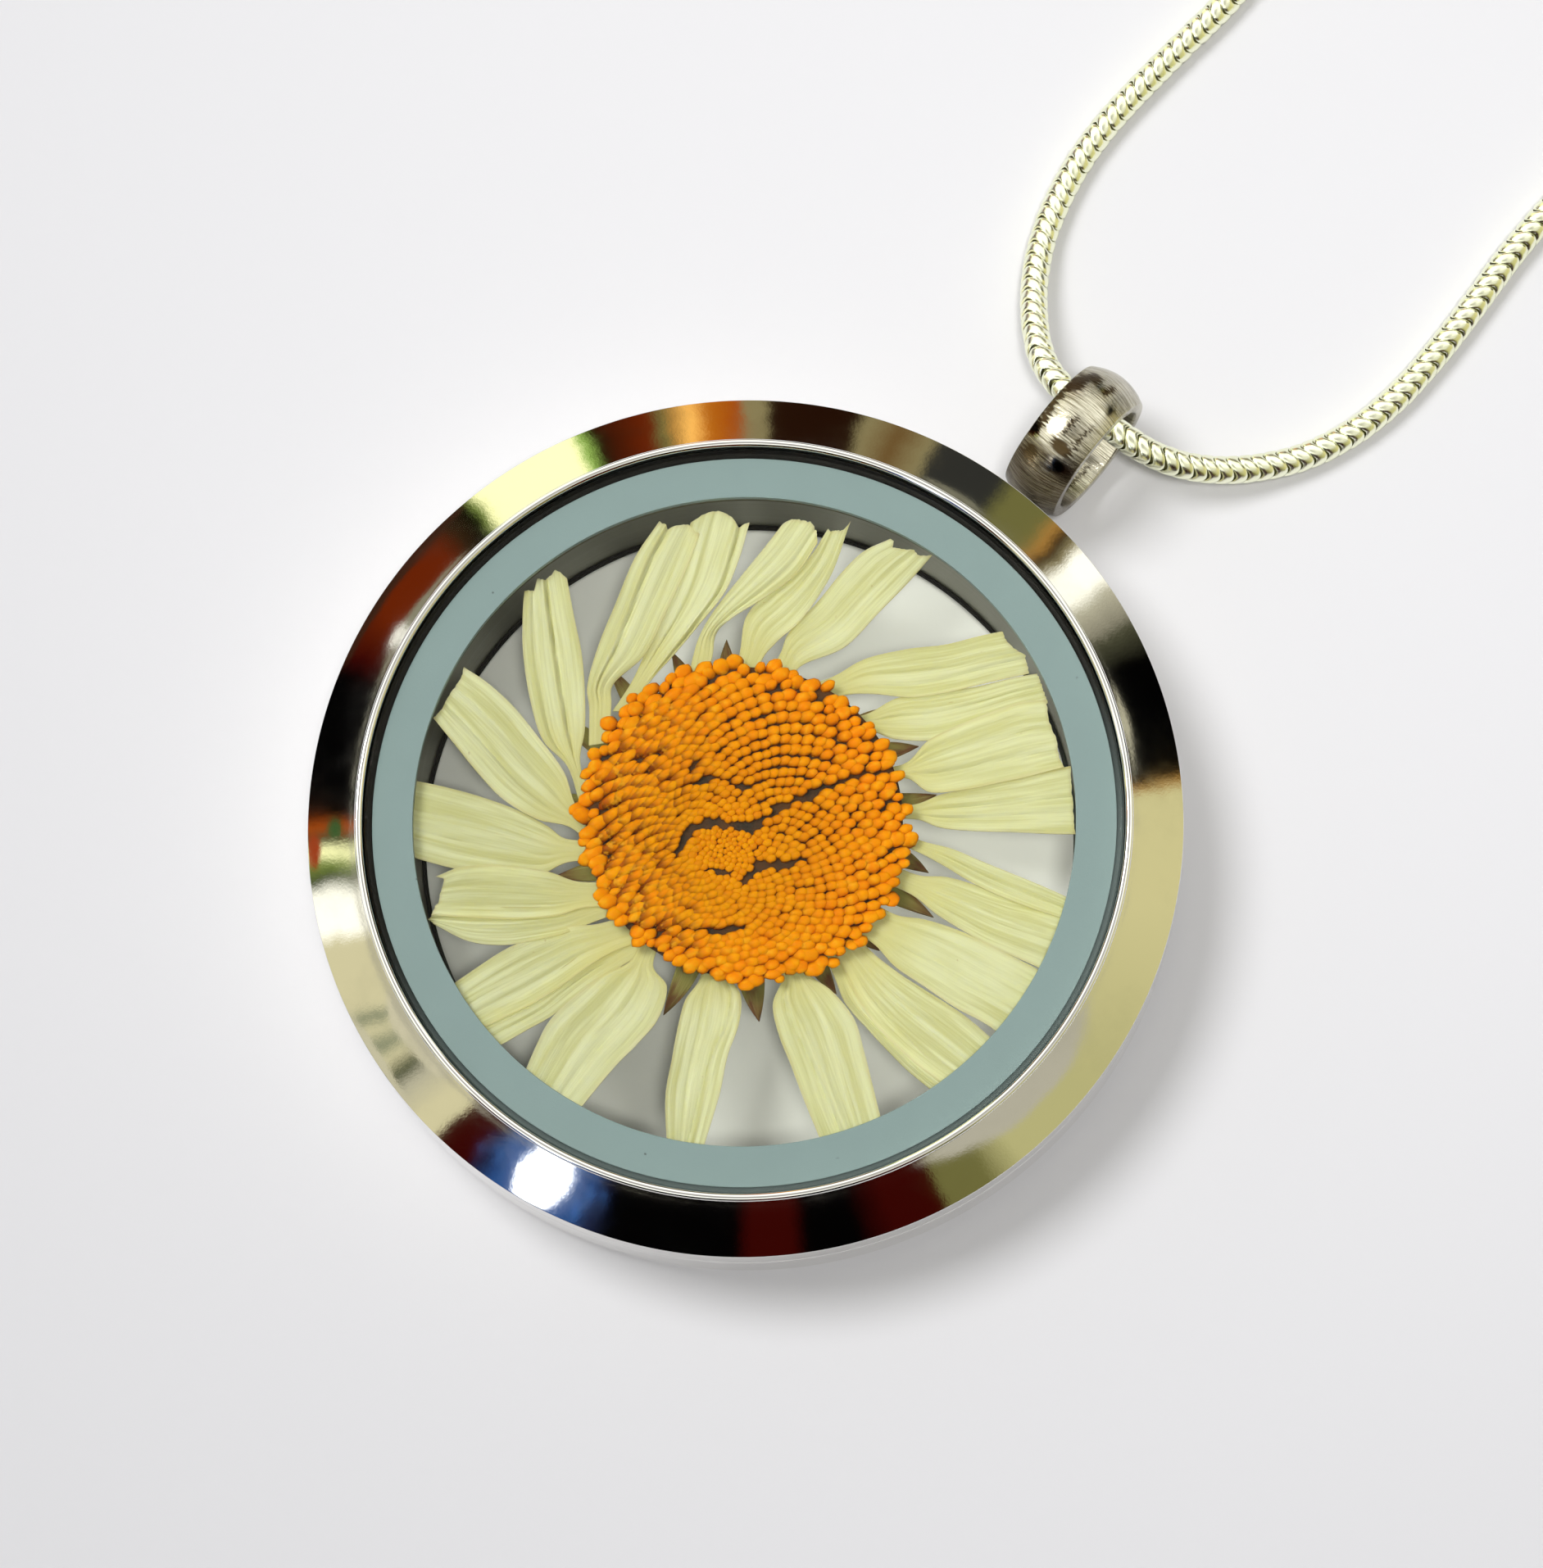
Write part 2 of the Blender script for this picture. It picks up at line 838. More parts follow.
def mesh_from(name: str, points: np.ndarray, faces: Sequence, sharp: float = 0.0) -> bpy.types.Mesh:
    """Smooth-shaded mesh.

    Args:
        name: Its name.
        points: Rows of x, y and z, in metres.
        faces: Point numbers of each face, counter-clockwise from outside.
        sharp: Angle in degrees from which an edge is shaded sharp, or 0 for none.

    Returns:
        The mesh.
    """
    mesh = bpy.data.meshes.new(name)
    mesh.from_pydata(points.tolist(), [], faces if isinstance(faces, list) else faces.tolist())
    mesh.polygons.foreach_set("use_smooth", [True] * len(mesh.polygons))
    if sharp:
        mesh.set_sharp_from_angle(angle=math.radians(sharp))
    mesh.update()
    return mesh


def colour_points(mesh: bpy.types.Mesh, name: str, rows: np.ndarray) -> None:
    """Give each point of a mesh three numbers that its finish reads.

    Args:
        mesh: The mesh.
        name: Name of the attribute.
        rows: Three numbers for each point.
    """
    layer = mesh.color_attributes.new(name, "FLOAT_COLOR", "POINT")
    filled = np.ones((len(rows), 4), np.float32)
    filled[:, :3] = rows
    layer.data.foreach_set("color", filled.ravel())


def placed(name: str, data: bpy.types.ID) -> bpy.types.Object:
    """Object of that data, put in the scene.

    Args:
        name: Name of the object.
        data: A mesh, a lamp or a camera.

    Returns:
        The object.
    """
    made = bpy.data.objects.new(name, data)
    bpy.context.scene.collection.objects.link(made)
    return made


def add_piece(
    mesh: bpy.types.Mesh,
    name: str,
    finishes: Finish | Sequence[Finish],
    body: Body,
    stands_for: Sequence[str] = (),
) -> bpy.types.Object:
    """Add a piece to the scene and tie it to the frame.

    Args:
        mesh: Its mesh.
        name: Its name.
        finishes: Its finish, or one for each material number.
        body: The body it moves with.
        stands_for: Nodes that it replaces.

    Returns:
        The piece.
    """
    piece = placed(name, mesh)
    for finish in [finishes] if isinstance(finishes, Finish) else finishes:
        mesh.materials.append(finish.material())
    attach(piece, body.value)
    if stands_for:
        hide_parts(*stands_for)
    log.info("%s: %d faces, rides on %s", name, len(mesh.polygons), body.value)
    return piece


@dataclass(frozen=True)
class PhotoView:
    """Where the photograph was taken from, and the ray behind each of its pixels."""

    width: int = 1883
    height: int = 1914
    focal: float = 6246.3
    stands: Triple = (29.731 * MM, -23.334 * MM, 175.52 * MM)
    looks_at: Triple = (-0.897 * MM, 2.254 * MM, 0.0)

    def axes(self) -> tuple[Vector, Vector, Vector]:
        """Directions of the picture's right, its top and its back.

        Returns:
            The three directions, each one unit long.
        """
        back = (Vector(self.stands) - Vector(self.looks_at)).normalized()
        top = Vector((-math.sin(VIEW_TURN), math.cos(VIEW_TURN), 0.0))
        right = top.cross(back).normalized()
        return right, back.cross(right), back

    def on_level(self, pixels: np.ndarray, height: np.ndarray) -> np.ndarray:
        """Points at given heights that the photograph shows at given pixels.

        Args:
            pixels: Rows of x and y in the photograph, y downwards.
            height: Height of each point, in metres.

        Returns:
            Rows of x and y in the part's frame, in metres.
        """
        right, top, back = (np.array(way) for way in self.axes())
        x = (pixels[..., 0:1] - self.width / 2) / self.focal
        y = (self.height / 2 - pixels[..., 1:2]) / self.focal
        rays = x * right + y * top - back
        start = np.array(self.stands)
        share = (height[..., None] - start[2]) / rays[..., 2:3]
        return (start + rays * share)[..., :2]


class Corner(NamedTuple):
    """A corner of a turned profile, and how far it is rounded."""

    out: float
    up: float
    rounding: float = 0.0


@dataclass(frozen=True)
class Turned:
    """A ring or disc turned from a closed profile, with exact normals.

    The corners run so that the solid lies on their left, seen with the radius to the right.
    """

    name: str
    corners: tuple[Corner, ...]
    segments: int = 320
    centre: Triple = (0.0, 0.0, 0.0)
    axis: Axis = Axis.Z
    steps: int = 4

    def profile(self) -> np.ndarray:
        """Points of the profile with its corners rounded.

        Returns:
            A row of radius and height for each point.
        """
        spots = np.array([(corner.out, corner.up) for corner in self.corners])
        points = []
        for index, corner in enumerate(self.corners):
            here = spots[index]
            before = spots[index - 1] - here
            after = spots[(index + 1) % len(spots)] - here
            reach = min(corner.rounding, 0.48 * np.linalg.norm(before), 0.48 * np.linalg.norm(after))
            if reach <= 0:
                points.append(here)
                continue
            start = here + before / np.linalg.norm(before) * reach
            end = here + after / np.linalg.norm(after) * reach
            for share in np.linspace(0, 1, self.steps + 1):
                points.append((1 - share) ** 2 * start + 2 * share * (1 - share) * here + share**2 * end)
        return np.array(points)

    @staticmethod
    def normals(points: np.ndarray) -> np.ndarray:
        """Outward normals of the profile's points, in which long runs outweigh short ones.

        Args:
            points: Points of the profile.

        Returns:
            A row for each point, one unit long.
        """
        runs = np.roll(points, -1, axis=0) - points
        lengths = np.linalg.norm(runs, axis=1, keepdims=True)
        across = np.stack([runs[:, 1], -runs[:, 0]], axis=1) / lengths
        weighed = across * lengths**3
        summed = weighed + np.roll(weighed, 1, axis=0)
        return summed / np.linalg.norm(summed, axis=1, keepdims=True)

    def mesh(self) -> bpy.types.Mesh:
        """Mesh of the turned piece.

        Returns:
            The mesh.
        """
        profile = self.profile()
        normals = self.normals(profile)
        first, second, along = (np.array(way, float) for way in self.axis.value)
        turns = np.arange(self.segments) * TAU / self.segments
        spokes = np.cos(turns)[:, None] * first + np.sin(turns)[:, None] * second
        points, point_normals, numbers = [], [], np.zeros((self.segments, len(profile)), int)
        for column, ((out, up), (side, rise)) in enumerate(zip(profile, normals)):
            rows = 1 if out < 1e-9 else self.segments
            numbers[:, column] = len(points) + (np.arange(self.segments) % rows)
            lean = 0.0 if rows == 1 else side
            for spoke in spokes[:rows]:
                points.append(np.array(self.centre) + (0 if rows == 1 else out) * spoke + up * along)
                point_normals.append(lean * spoke + rise * along)
        faces = []
        for row in range(self.segments):
            below = (row + 1) % self.segments
            for column in range(len(profile)):
                beside = (column + 1) % len(profile)
                ring = (numbers[row, column], numbers[below, column],
                        numbers[below, beside], numbers[row, beside])
                face = list(dict.fromkeys(int(number) for number in ring))
                if len(face) > 2:
                    faces.append(face)
        mesh = mesh_from(self.name, np.array(points), faces)
        units = [Vector(normal).normalized()[:] for normal in point_normals]
        mesh.normals_split_custom_set_from_vertices(units)
        return mesh

    def build(
        self, finishes: Finish | Sequence[Finish], body: Body, slot: Slot, *stands_for: str
    ) -> bpy.types.Object:
        """Add the piece, as add_piece does."""
        return add_piece(self.mesh(), self.name, finishes, body, stands_for)


@dataclass(frozen=True)
class Sizes:
    """Sizes of the locket, in metres. What the frame's boxes give is read from them."""

    radius: float
    lip_top: float
    seam: float
    glass_radius: float
    glass_top: float
    glass_bottom: float
    mask_radius: float
    mask_top: float
    mask_bottom: float
    back_glass_radius: float
    back_glass_top: float
    bail_top: float
    bail_end: float
    disc_radius: float
    disc_base: float
    disc_top: float
    lip_width: float = 0.28 * MM
    lip_rise: float = 0.12 * MM
    bevel_width: float = 1.73 * MM
    bevel_drop: float = 1.08 * MM
    back_bevel: float = 1.1 * MM
    back_lip: float = 0.8 * MM
    skirt_wall: float = 1.45 * MM
    neck_wall: float = 1.95 * MM
    seam_gap: float = 0.05 * MM
    flange: float = 0.45 * MM
    chamber_radius: float = 11.45 * MM
    mask_width: float = 1.39 * MM
    bail_radius: float = 2.8 * MM
    bail_wall: float = 0.75 * MM
    bail_width: float = 2.2 * MM
    bail_edge: float = 0.42 * MM

    @classmethod
    def from_frame(cls) -> "Sizes":
        """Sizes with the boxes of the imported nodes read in.

        Returns:
            The sizes.
        """
        bezel_low, bezel_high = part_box("front_bezel")
        glass_low, glass_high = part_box("front_glass")
        mask_low, mask_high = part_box("mask_ring")
        case_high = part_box("case")[1]
        back_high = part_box("back_glass")[1]
        disc_low, disc_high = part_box("flower_disc")
        return cls(
            radius=bezel_high.x,
            lip_top=bezel_high.z,
            seam=bezel_low.z,
            glass_radius=glass_high.x,
            glass_top=glass_high.z,
            glass_bottom=glass_low.z,
            mask_radius=mask_high.x,
            mask_top=mask_high.z,
            mask_bottom=mask_low.z,
            back_glass_radius=back_high.x,
            back_glass_top=back_high.z,
            bail_top=case_high.z,
            bail_end=case_high.y,
            disc_radius=disc_high.x,
            disc_base=disc_low.z,
            disc_top=disc_high.z,
        )

    @property
    def bail_centre(self) -> Triple:
        """Centre of the bail's ring."""
        return (0.0, self.bail_end - self.bail_radius, self.bail_top - self.bail_radius)


@dataclass
class LocketShell:
    """Case, bezel, bail, glasses and mask ring."""

    sizes: Sizes
    edge: float = 0.07 * MM
    fine_edge: float = 0.03 * MM
    crown: float = 0.028 * MM
    mask_gap: float = 0.04 * MM
    glass_gap: float = 0.04 * MM
    flange_gap: float = 0.17 * MM
    brow_drop: float = 0.03 * MM
    ledge_reach: float = 0.6 * MM
    ground_edge: float = 0.08 * MM
    band_inner_edge: float = 0.10 * MM
    band_outer_edge: float = 0.12 * MM
    solder_half_width: float = 0.75 * MM
    solder_inset: float = 0.15 * MM
    solder_sunk: float = 0.4 * MM
    solder_reach: float = 0.2 * MM
    solder_waist: float = 0.30
    seal_width: float = 0.16 * MM
    seal_height: float = 0.13 * MM

    def bezel_corners(self) -> tuple[Corner, ...]:
        """Profile of the bezel, from its flange outwards and up to the lip.

        Returns:
            The corners in order.
        """
        size = self.sizes
        shoulder = size.lip_top - size.lip_rise
        bevel_in = size.radius - size.bevel_width
        lip_in = bevel_in - size.lip_width
        flange_top = size.mask_bottom - self.mask_gap
        flange_low = flange_top - size.flange
        flange_in = size.chamber_radius + self.flange_gap
        skirt = size.radius - size.skirt_wall
        bevel_low = shoulder - size.bevel_drop
        foot = np.array([size.radius, bevel_low])
        run = np.array([bevel_in, shoulder - self.brow_drop]) - foot
        square = np.array([run[1], -run[0]]) / np.linalg.norm(run)
        bevel = [
            Corner(*(foot + share * run + square * 4 * self.crown * share * (1 - share)))
            for share in np.linspace(0.03, 1, 15)
        ]
        half = size.lip_width / 2
        bead = [
            Corner(lip_in + half * (1 + math.cos(turn)), shoulder + size.lip_rise * math.sin(turn))
            for turn in np.linspace(0, math.pi, 13)
        ]
        return (
            Corner(flange_in, flange_low, self.fine_edge),
            Corner(skirt, flange_low, self.fine_edge),
            Corner(skirt, size.seam, self.fine_edge),
            Corner(size.radius, size.seam, self.edge),
            Corner(size.radius, bevel_low, self.edge),
            *bevel,
            *bead,
            Corner(lip_in, flange_top, self.fine_edge),
            Corner(flange_in, flange_top, self.fine_edge),
        )

    def case_corners(self) -> tuple[Corner, ...]:
        """Profile of the case, from its back face outwards and up to the neck.

        Returns:
            The corners in order.
        """
        size = self.sizes
        seat = size.back_glass_radius + self.glass_gap
        shoulder = size.seam - size.seam_gap
        neck = size.chamber_radius + size.neck_wall
        neck_top = size.mask_bottom - self.mask_gap - size.flange - 2 * size.seam_gap
        ledge = size.back_glass_top + self.glass_gap
        return (
            Corner(seat, 0, self.fine_edge),
            Corner(seat + size.back_lip, 0, self.edge),
            Corner(size.radius, size.back_bevel, self.edge),
            Corner(size.radius, shoulder, self.edge),
            Corner(neck, shoulder, self.fine_edge),
            Corner(neck, neck_top, self.edge),
            Corner(size.chamber_radius, neck_top, self.edge),
            Corner(size.chamber_radius, ledge, self.fine_edge),
            Corner(seat, ledge, self.fine_edge),
        )

    def bail_corners(self) -> tuple[Corner, ...]:
        """Profile of the bail's band: flat inside, domed outside.

        Returns:
            The corners in order.
        """
        size = self.sizes
        half = size.bail_width / 2
        bore = size.bail_radius - size.bail_wall
        edge = bore + size.bail_edge
        rise = size.bail_radius - edge
        dome = [
            Corner(edge + rise * (1 - (place / half) ** 2), place, 0)
            for place in np.linspace(-0.93 * half, 0.93 * half, 13)
        ]
        return (
            Corner(bore, -half, self.band_inner_edge),
            Corner(edge, -half, self.band_outer_edge),
            *dome,
            Corner(edge, half, self.band_outer_edge),
            Corner(bore, half, self.band_inner_edge),
        )

    def solder_mesh(self) -> bpy.types.Mesh:
        """Saddle of solder that widens onto the case and the bail.

        Returns:
            The mesh.
        """
        size = self.sizes
        low = size.back_bevel + self.solder_inset
        high = size.seam - size.seam_gap - self.solder_inset
        start = size.radius - self.solder_sunk
        end = size.radius + self.solder_reach + size.bail_wall / 2
        middle = (low + high) / 2
        rings = []
        for share in np.linspace(0, 1, 9):
            flare = 1 - self.solder_waist * math.sin(math.pi * share) ** 0.7
            place = start + (end - start) * share
            half_x = self.solder_half_width * flare
            half_z = (high - low) / 2 * flare
            turns = np.linspace(0, TAU, 24, endpoint=False)
            bulge = (np.abs(np.cos(turns)) ** 6 + np.abs(np.sin(turns)) ** 6) ** (-1 / 6)
            rings.append(np.stack([
                half_x * np.sin(turns) * bulge,
                np.full(len(turns), place),
                middle + half_z * np.cos(turns) * bulge,
            ], axis=1))
        return tube_mesh("bail_solder", np.array(rings), closed_ends=True)

    def pane_corners(self, radius: float, low: float, high: float) -> tuple[Corner, ...]:
        """Profile of a glass with ground edges.

        Args:
            radius: Radius of the glass.
            low: Height of its lower face.
            high: Height of its upper face.

        Returns:
            The corners in order.
        """
        ground = self.ground_edge
        return (
            Corner(0, low),
            Corner(radius - ground, low, 0.02 * MM),
            Corner(radius, low + ground, 0.03 * MM),
            Corner(radius, high - ground, 0.03 * MM),
            Corner(radius - ground, high, 0.02 * MM),
            Corner(0, high),
        )

    def build(self) -> None:
        """Add the shell's pieces."""
        size = self.sizes
        Turned("bezel_ring", self.bezel_corners(), 384).build(STEEL, Body.FRONT, Slot.STEEL, "front_bezel")
        case = Turned("case_ring", self.case_corners(), 384)
        self.dull_the_bore(case.build((STEEL, BORE_STEEL), Body.BACK, Slot.STEEL, "case").data)
        bail = Turned("bail_band", self.bail_corners(), 160, size.bail_centre, Axis.X)
        band = bail.build(BAIL_STEEL, Body.BACK, Slot.STEEL, "case")
        solder = add_piece(self.solder_mesh(), "bail_solder", BAIL_STEEL, Body.BACK, ["case"])
        # The bevel beside the bail mirrors only the dark room
        band.visible_glossy = solder.visible_glossy = False
        front = self.pane_corners(size.glass_radius, size.glass_bottom, size.glass_top)
        Turned("front_pane", front, 192).build(FRONT_PANE, Body.FRONT, Slot.GLASS, "front_glass")
        back = self.pane_corners(size.back_glass_radius, 0.0, size.back_glass_top)
        Turned("back_pane", back, 192).build(BACK_PANE, Body.BACK, Slot.GLASS, "back_glass")
        mask_in = size.mask_radius - size.mask_width
        Turned("mask_band", (
            Corner(mask_in, size.mask_bottom, self.fine_edge),
            Corner(size.mask_radius, size.mask_bottom, self.fine_edge),
            Corner(size.mask_radius, size.mask_top, self.fine_edge),
            Corner(mask_in, size.mask_top, self.fine_edge),
        )).build(MASK_COAT, Body.FRONT, Slot.MASK, "mask_ring")
        rim = size.glass_radius + 0.01 * MM
        gasket_in = size.mask_radius - 0.02 * MM
        Turned("gasket_ring", (
            Corner(gasket_in, size.mask_bottom),
            Corner(rim, size.mask_bottom),
            Corner(rim, size.glass_bottom + 0.20 * MM, self.fine_edge),
            Corner(rim - 0.06 * MM, size.mask_top, self.fine_edge),
            Corner(gasket_in, size.mask_top - 0.03 * MM),
        )).build(SEAL, Body.FRONT, Slot.MASK, "mask_ring")
        low = size.back_glass_top + 0.01 * MM
        high = low + self.seal_height
        Turned("seal_line", (
            Corner(size.chamber_radius - self.seal_width, low, self.fine_edge),
            Corner(size.chamber_radius + 0.1 * MM, low),
            Corner(size.chamber_radius + 0.1 * MM, high),
            Corner(size.chamber_radius - 0.6 * self.seal_width, high, self.fine_edge),
        )).build(SEAL, Body.BACK, Slot.STEEL)

    def dull_the_bore(self, mesh: bpy.types.Mesh) -> None:
        """Give the chamber's wall and the ledge behind the glass the turned finish.

        Args:
            mesh: Mesh of the case.
        """
        limit = self.sizes.chamber_radius + self.ledge_reach
        for face in mesh.polygons:
            middle = face.center
            inside = math.hypot(middle.x, middle.y) < limit
            if inside and middle.z > self.sizes.back_glass_top:
                face.material_index = 1


def tube_mesh(name: str, rings: np.ndarray, closed_ends: bool) -> bpy.types.Mesh:
    """Mesh through rings of points.

    Args:
        name: Its name.
        rings: Rings of the same number of points, in order.
        closed_ends: Whether each end gets a face.

    Returns:
        The mesh.
    """
    count, around = rings.shape[:2]
    numbers = np.arange(count * around).reshape(count, around)
    beside = np.roll(numbers, -1, axis=1)
    walls = np.stack([numbers[:-1], beside[:-1], beside[1:], numbers[1:]], axis=-1)
    faces = walls.reshape(-1, 4).tolist()
    if closed_ends:
        faces.append(numbers[0][::-1].tolist())
        faces.append(numbers[-1].tolist())
    return mesh_from(name, rings.reshape(-1, 3), faces, 40)


def sheet_mesh(name: str, grid: np.ndarray, thickness: float) -> bpy.types.Mesh:
    """Mesh of a thin sheet over a grid of points.

    Args:
        name: Its name.
        grid: Points of the upper face, by row along and column across.
        thickness: How far below it the lower face lies.

    Returns:
        The mesh, with the upper face's points first.
    """
    rows, columns = grid.shape[:2]
    upper = np.arange(rows * columns).reshape(rows, columns)
    lower = upper + rows * columns
    points = np.concatenate([grid.reshape(-1, 3), grid.reshape(-1, 3) - (0, 0, thickness)])
    top = np.stack([upper[:-1, :-1], upper[1:, :-1], upper[1:, 1:], upper[:-1, 1:]], -1).reshape(-1, 4)
    bottom = np.stack([lower[:-1, :-1], lower[:-1, 1:], lower[1:, 1:], lower[1:, :-1]], -1).reshape(-1, 4)
    brim = np.concatenate([upper[:-1, 0], upper[-1, :-1], upper[1:, -1][::-1], upper[0, 1:][::-1]])
    beside = np.roll(brim, -1)
    wall = np.stack([brim, brim + rows * columns, beside + rows * columns, beside], -1)
    return mesh_from(name, points, np.concatenate([top, bottom, wall]), 50)


Station = tuple[int, int, int, int]
Knots = tuple[tuple[float, float], ...]


@dataclass(frozen=True)
class RayPetal:
    """One petal, drawn by stations from the disc to its tip.

    A station holds the photograph's pixels of the petal's left edge and of its right edge, seen
    when walking outwards. The end stands back from the last station by so many pixels at places
    across it, from 1 at the left edge to -1 at the right. A crease runs from one place across to
    another and is so many hundredths of a millimetre deep.
    """

    number: int
    layer: int
    stations: tuple[Station, ...]
    end: Knots = ((-1, 0), (1, 0))
    creases: tuple[Triple, ...] = ()
    hidden_tip: bool = False

    wall_radius: float = 11.36 * MM
    disc_rim: float = 6.08 * MM
    root_run: float = 1.3 * MM
    base_height: float = 3.98 * MM
    tip_height: float = 4.58 * MM
    layer_step: float = 0.13 * MM
    thickness: float = 0.05 * MM
    under_disc: float = 4.31 * MM
    under_ring: float = 4.89 * MM
    ring_reach: float = 11.2 * MM
    pixel: float = 0.0281 * MM
    fold_places: tuple[float, float] = (-0.36, 0.34)
    fold_width: float = 0.14
    fold_depth: float = 0.035 * MM
    wave_height: float = 0.035 * MM
    flutter: float = 0.040 * MM
    ripple: float = 0.003 * MM
    rows: int = 56
    columns: int = 37

    def rise(self, along: np.ndarray) -> np.ndarray:
        """Height of the plain petal at shares of its length."""
        lift = (self.tip_height - self.base_height) * smooth((along + 0.15) / 1.15)
        return self.base_height + lift + self.layer * self.layer_step

    def edges(self, along: np.ndarray) -> np.ndarray:
        """Left and right edge at shares of the petal's length, the root at negative ones.

        Args:
            along: Shares of the length.

        Returns:
            A row of two distances for each share.
        """
        count = len(self.stations)
        shares = np.linspace(0, 1, count)
        marks = np.array(self.stations, float).reshape(count, 2, 2)
        spots = PhotoView().on_level(marks, np.repeat(self.rise(shares)[:, None], 2, axis=1))
        middle = spots.mean(axis=1)
        inward = (middle[0] - middle[1]) / np.linalg.norm(middle[0] - middle[1])
        half = (spots[0] - middle[0]) * 0.95
        root = middle[0] + inward * self.root_run + half
        beyond = 2 * spots[-1] - spots[-2]
        chain = np.concatenate([[2 * root - spots[0], root], spots, [beyond]])
        root_share = -1 / (count - 1)
        place = (along - root_share) / (shares[1] - shares[0])
        start = np.clip(place.astype(int), 0, count - 1)
        local = (place - start)[..., None, None]
        before, one, two, after = (chain[start + shift] for shift in range(4))
        return 0.5 * (
            2 * one
            + (two - before) * local
            + (2 * before - 5 * one + 4 * two - after) * local**2
            + (3 * one - before - 3 * two + after) * local**3
        )

    def retreat(self, across: np.ndarray, chance: np.random.Generator) -> np.ndarray:
        """How far the end stands back from the last station, in metres.

        Args:
            across: Places across the petal, from -1 to 1.
            chance: Where its random numbers come from.

        Returns:
            A distance for each place.
        """
        places, steps = np.array(sorted(self.end), float).T
        ragged = sum(
            chance.uniform(0.1, 0.5) * np.sin(across * pace + chance.uniform(0, TAU))
            for pace in (7, 13, 23, 37)
        )
        return (np.interp(across, places, steps) + ragged) * self.pixel

    def relief(self, along: np.ndarray, across: np.ndarray, chance: np.random.Generator) -> np.ndarray:
        """Height of the petal's folds and waves over its plain rise.

        Args:
            along: Shares of the length.
            across: Places across the petal, from -1 to 1.
            chance: Where its random numbers come from.

        Returns:
            A height for each share and place, in metres.
        """
        bend = chance.uniform(-0.08, 0.12) * MM
        twist = chance.uniform(-0.06, 0.06) * MM
        fade = smooth((along + 0.05) / 0.3)
        places = [place + chance.uniform(-0.08, 0.08) for place in self.fold_places]
        groove = sum(np.exp(-(((across - place) / self.fold_width) ** 2)) for place in places)
        waves = np.sin(TAU * (along * chance.uniform(1.2, 2.2) + chance.uniform(0, 1)))
        side = np.sin(TAU * (along * chance.uniform(1.0, 2.0) + chance.uniform(0, 1)))
        fine = sum(
            chance.uniform(0.3, 1.0)
            * np.sin(across * pace + along * chance.uniform(-3, 3) + chance.uniform(0, TAU))
            for pace in (9, 15, 24)
        )
        lines = 0
        for first, last, depth in self.creases:
            off = across - (first + (last - first) * along)
            lines = lines - depth * 0.01 * np.exp(-np.abs(off) / 0.05)
            lines = lines + depth * 0.007 * np.exp(-(((off - 0.17) / 0.12) ** 2))
        return fade * (
            -self.fold_depth * groove
            + bend * across**2
            + twist * across
            + self.wave_height * waves * across**2
            + self.flutter * side * across
            + self.ripple * fine
            + MM * lines
        )

    def mesh(self) -> bpy.types.Mesh:
        """Mesh of the petal.

        Returns:
            The mesh.
        """
        chance = np.random.default_rng(700 + self.number)
        low = -1 / (len(self.stations) - 1)
        along, across = np.meshgrid(
            np.linspace(low, 1, self.rows), np.linspace(-1, 1, self.columns), indexing="ij"
        )
        pairs = self.edges(along)
        left, right = pairs[..., 0, :], pairs[..., 1, :]
        flat = (left + right) / 2 + (left - right) / 2 * across[..., None]
        ahead = np.gradient(flat, axis=0)
        ahead /= np.linalg.norm(ahead, axis=-1, keepdims=True)
        back = self.retreat(across, chance) * smooth((along - 0.6) / 0.4)
        flat = flat - ahead * back[..., None]
        radius = np.linalg.norm(flat, axis=-1)
        if self.hidden_tip:
            flat *= np.minimum(1, self.wall_radius / radius)[..., None]
            radius = np.minimum(radius, self.wall_radius)
        height = self.rise(along) + self.relief(along, across, chance)
        cap = np.where(radius > self.ring_reach, self.under_ring, self.under_ring + 0.25 * MM)
        cap = np.where(radius < self.disc_rim, self.under_disc, cap)
        grid = np.concatenate([flat, np.minimum(height, cap)[..., None]], axis=-1)
        mesh = sheet_mesh(f"ray_petal_{self.number:02d}", grid, self.thickness)
        held = np.clip(along, 0, 1)
        rows = np.stack([np.full(held.shape, chance.random()), (across + 1) / 2, held], axis=-1)
        colour_points(mesh, "petal", np.tile(rows.reshape(-1, 3), (2, 1)))
        return mesh


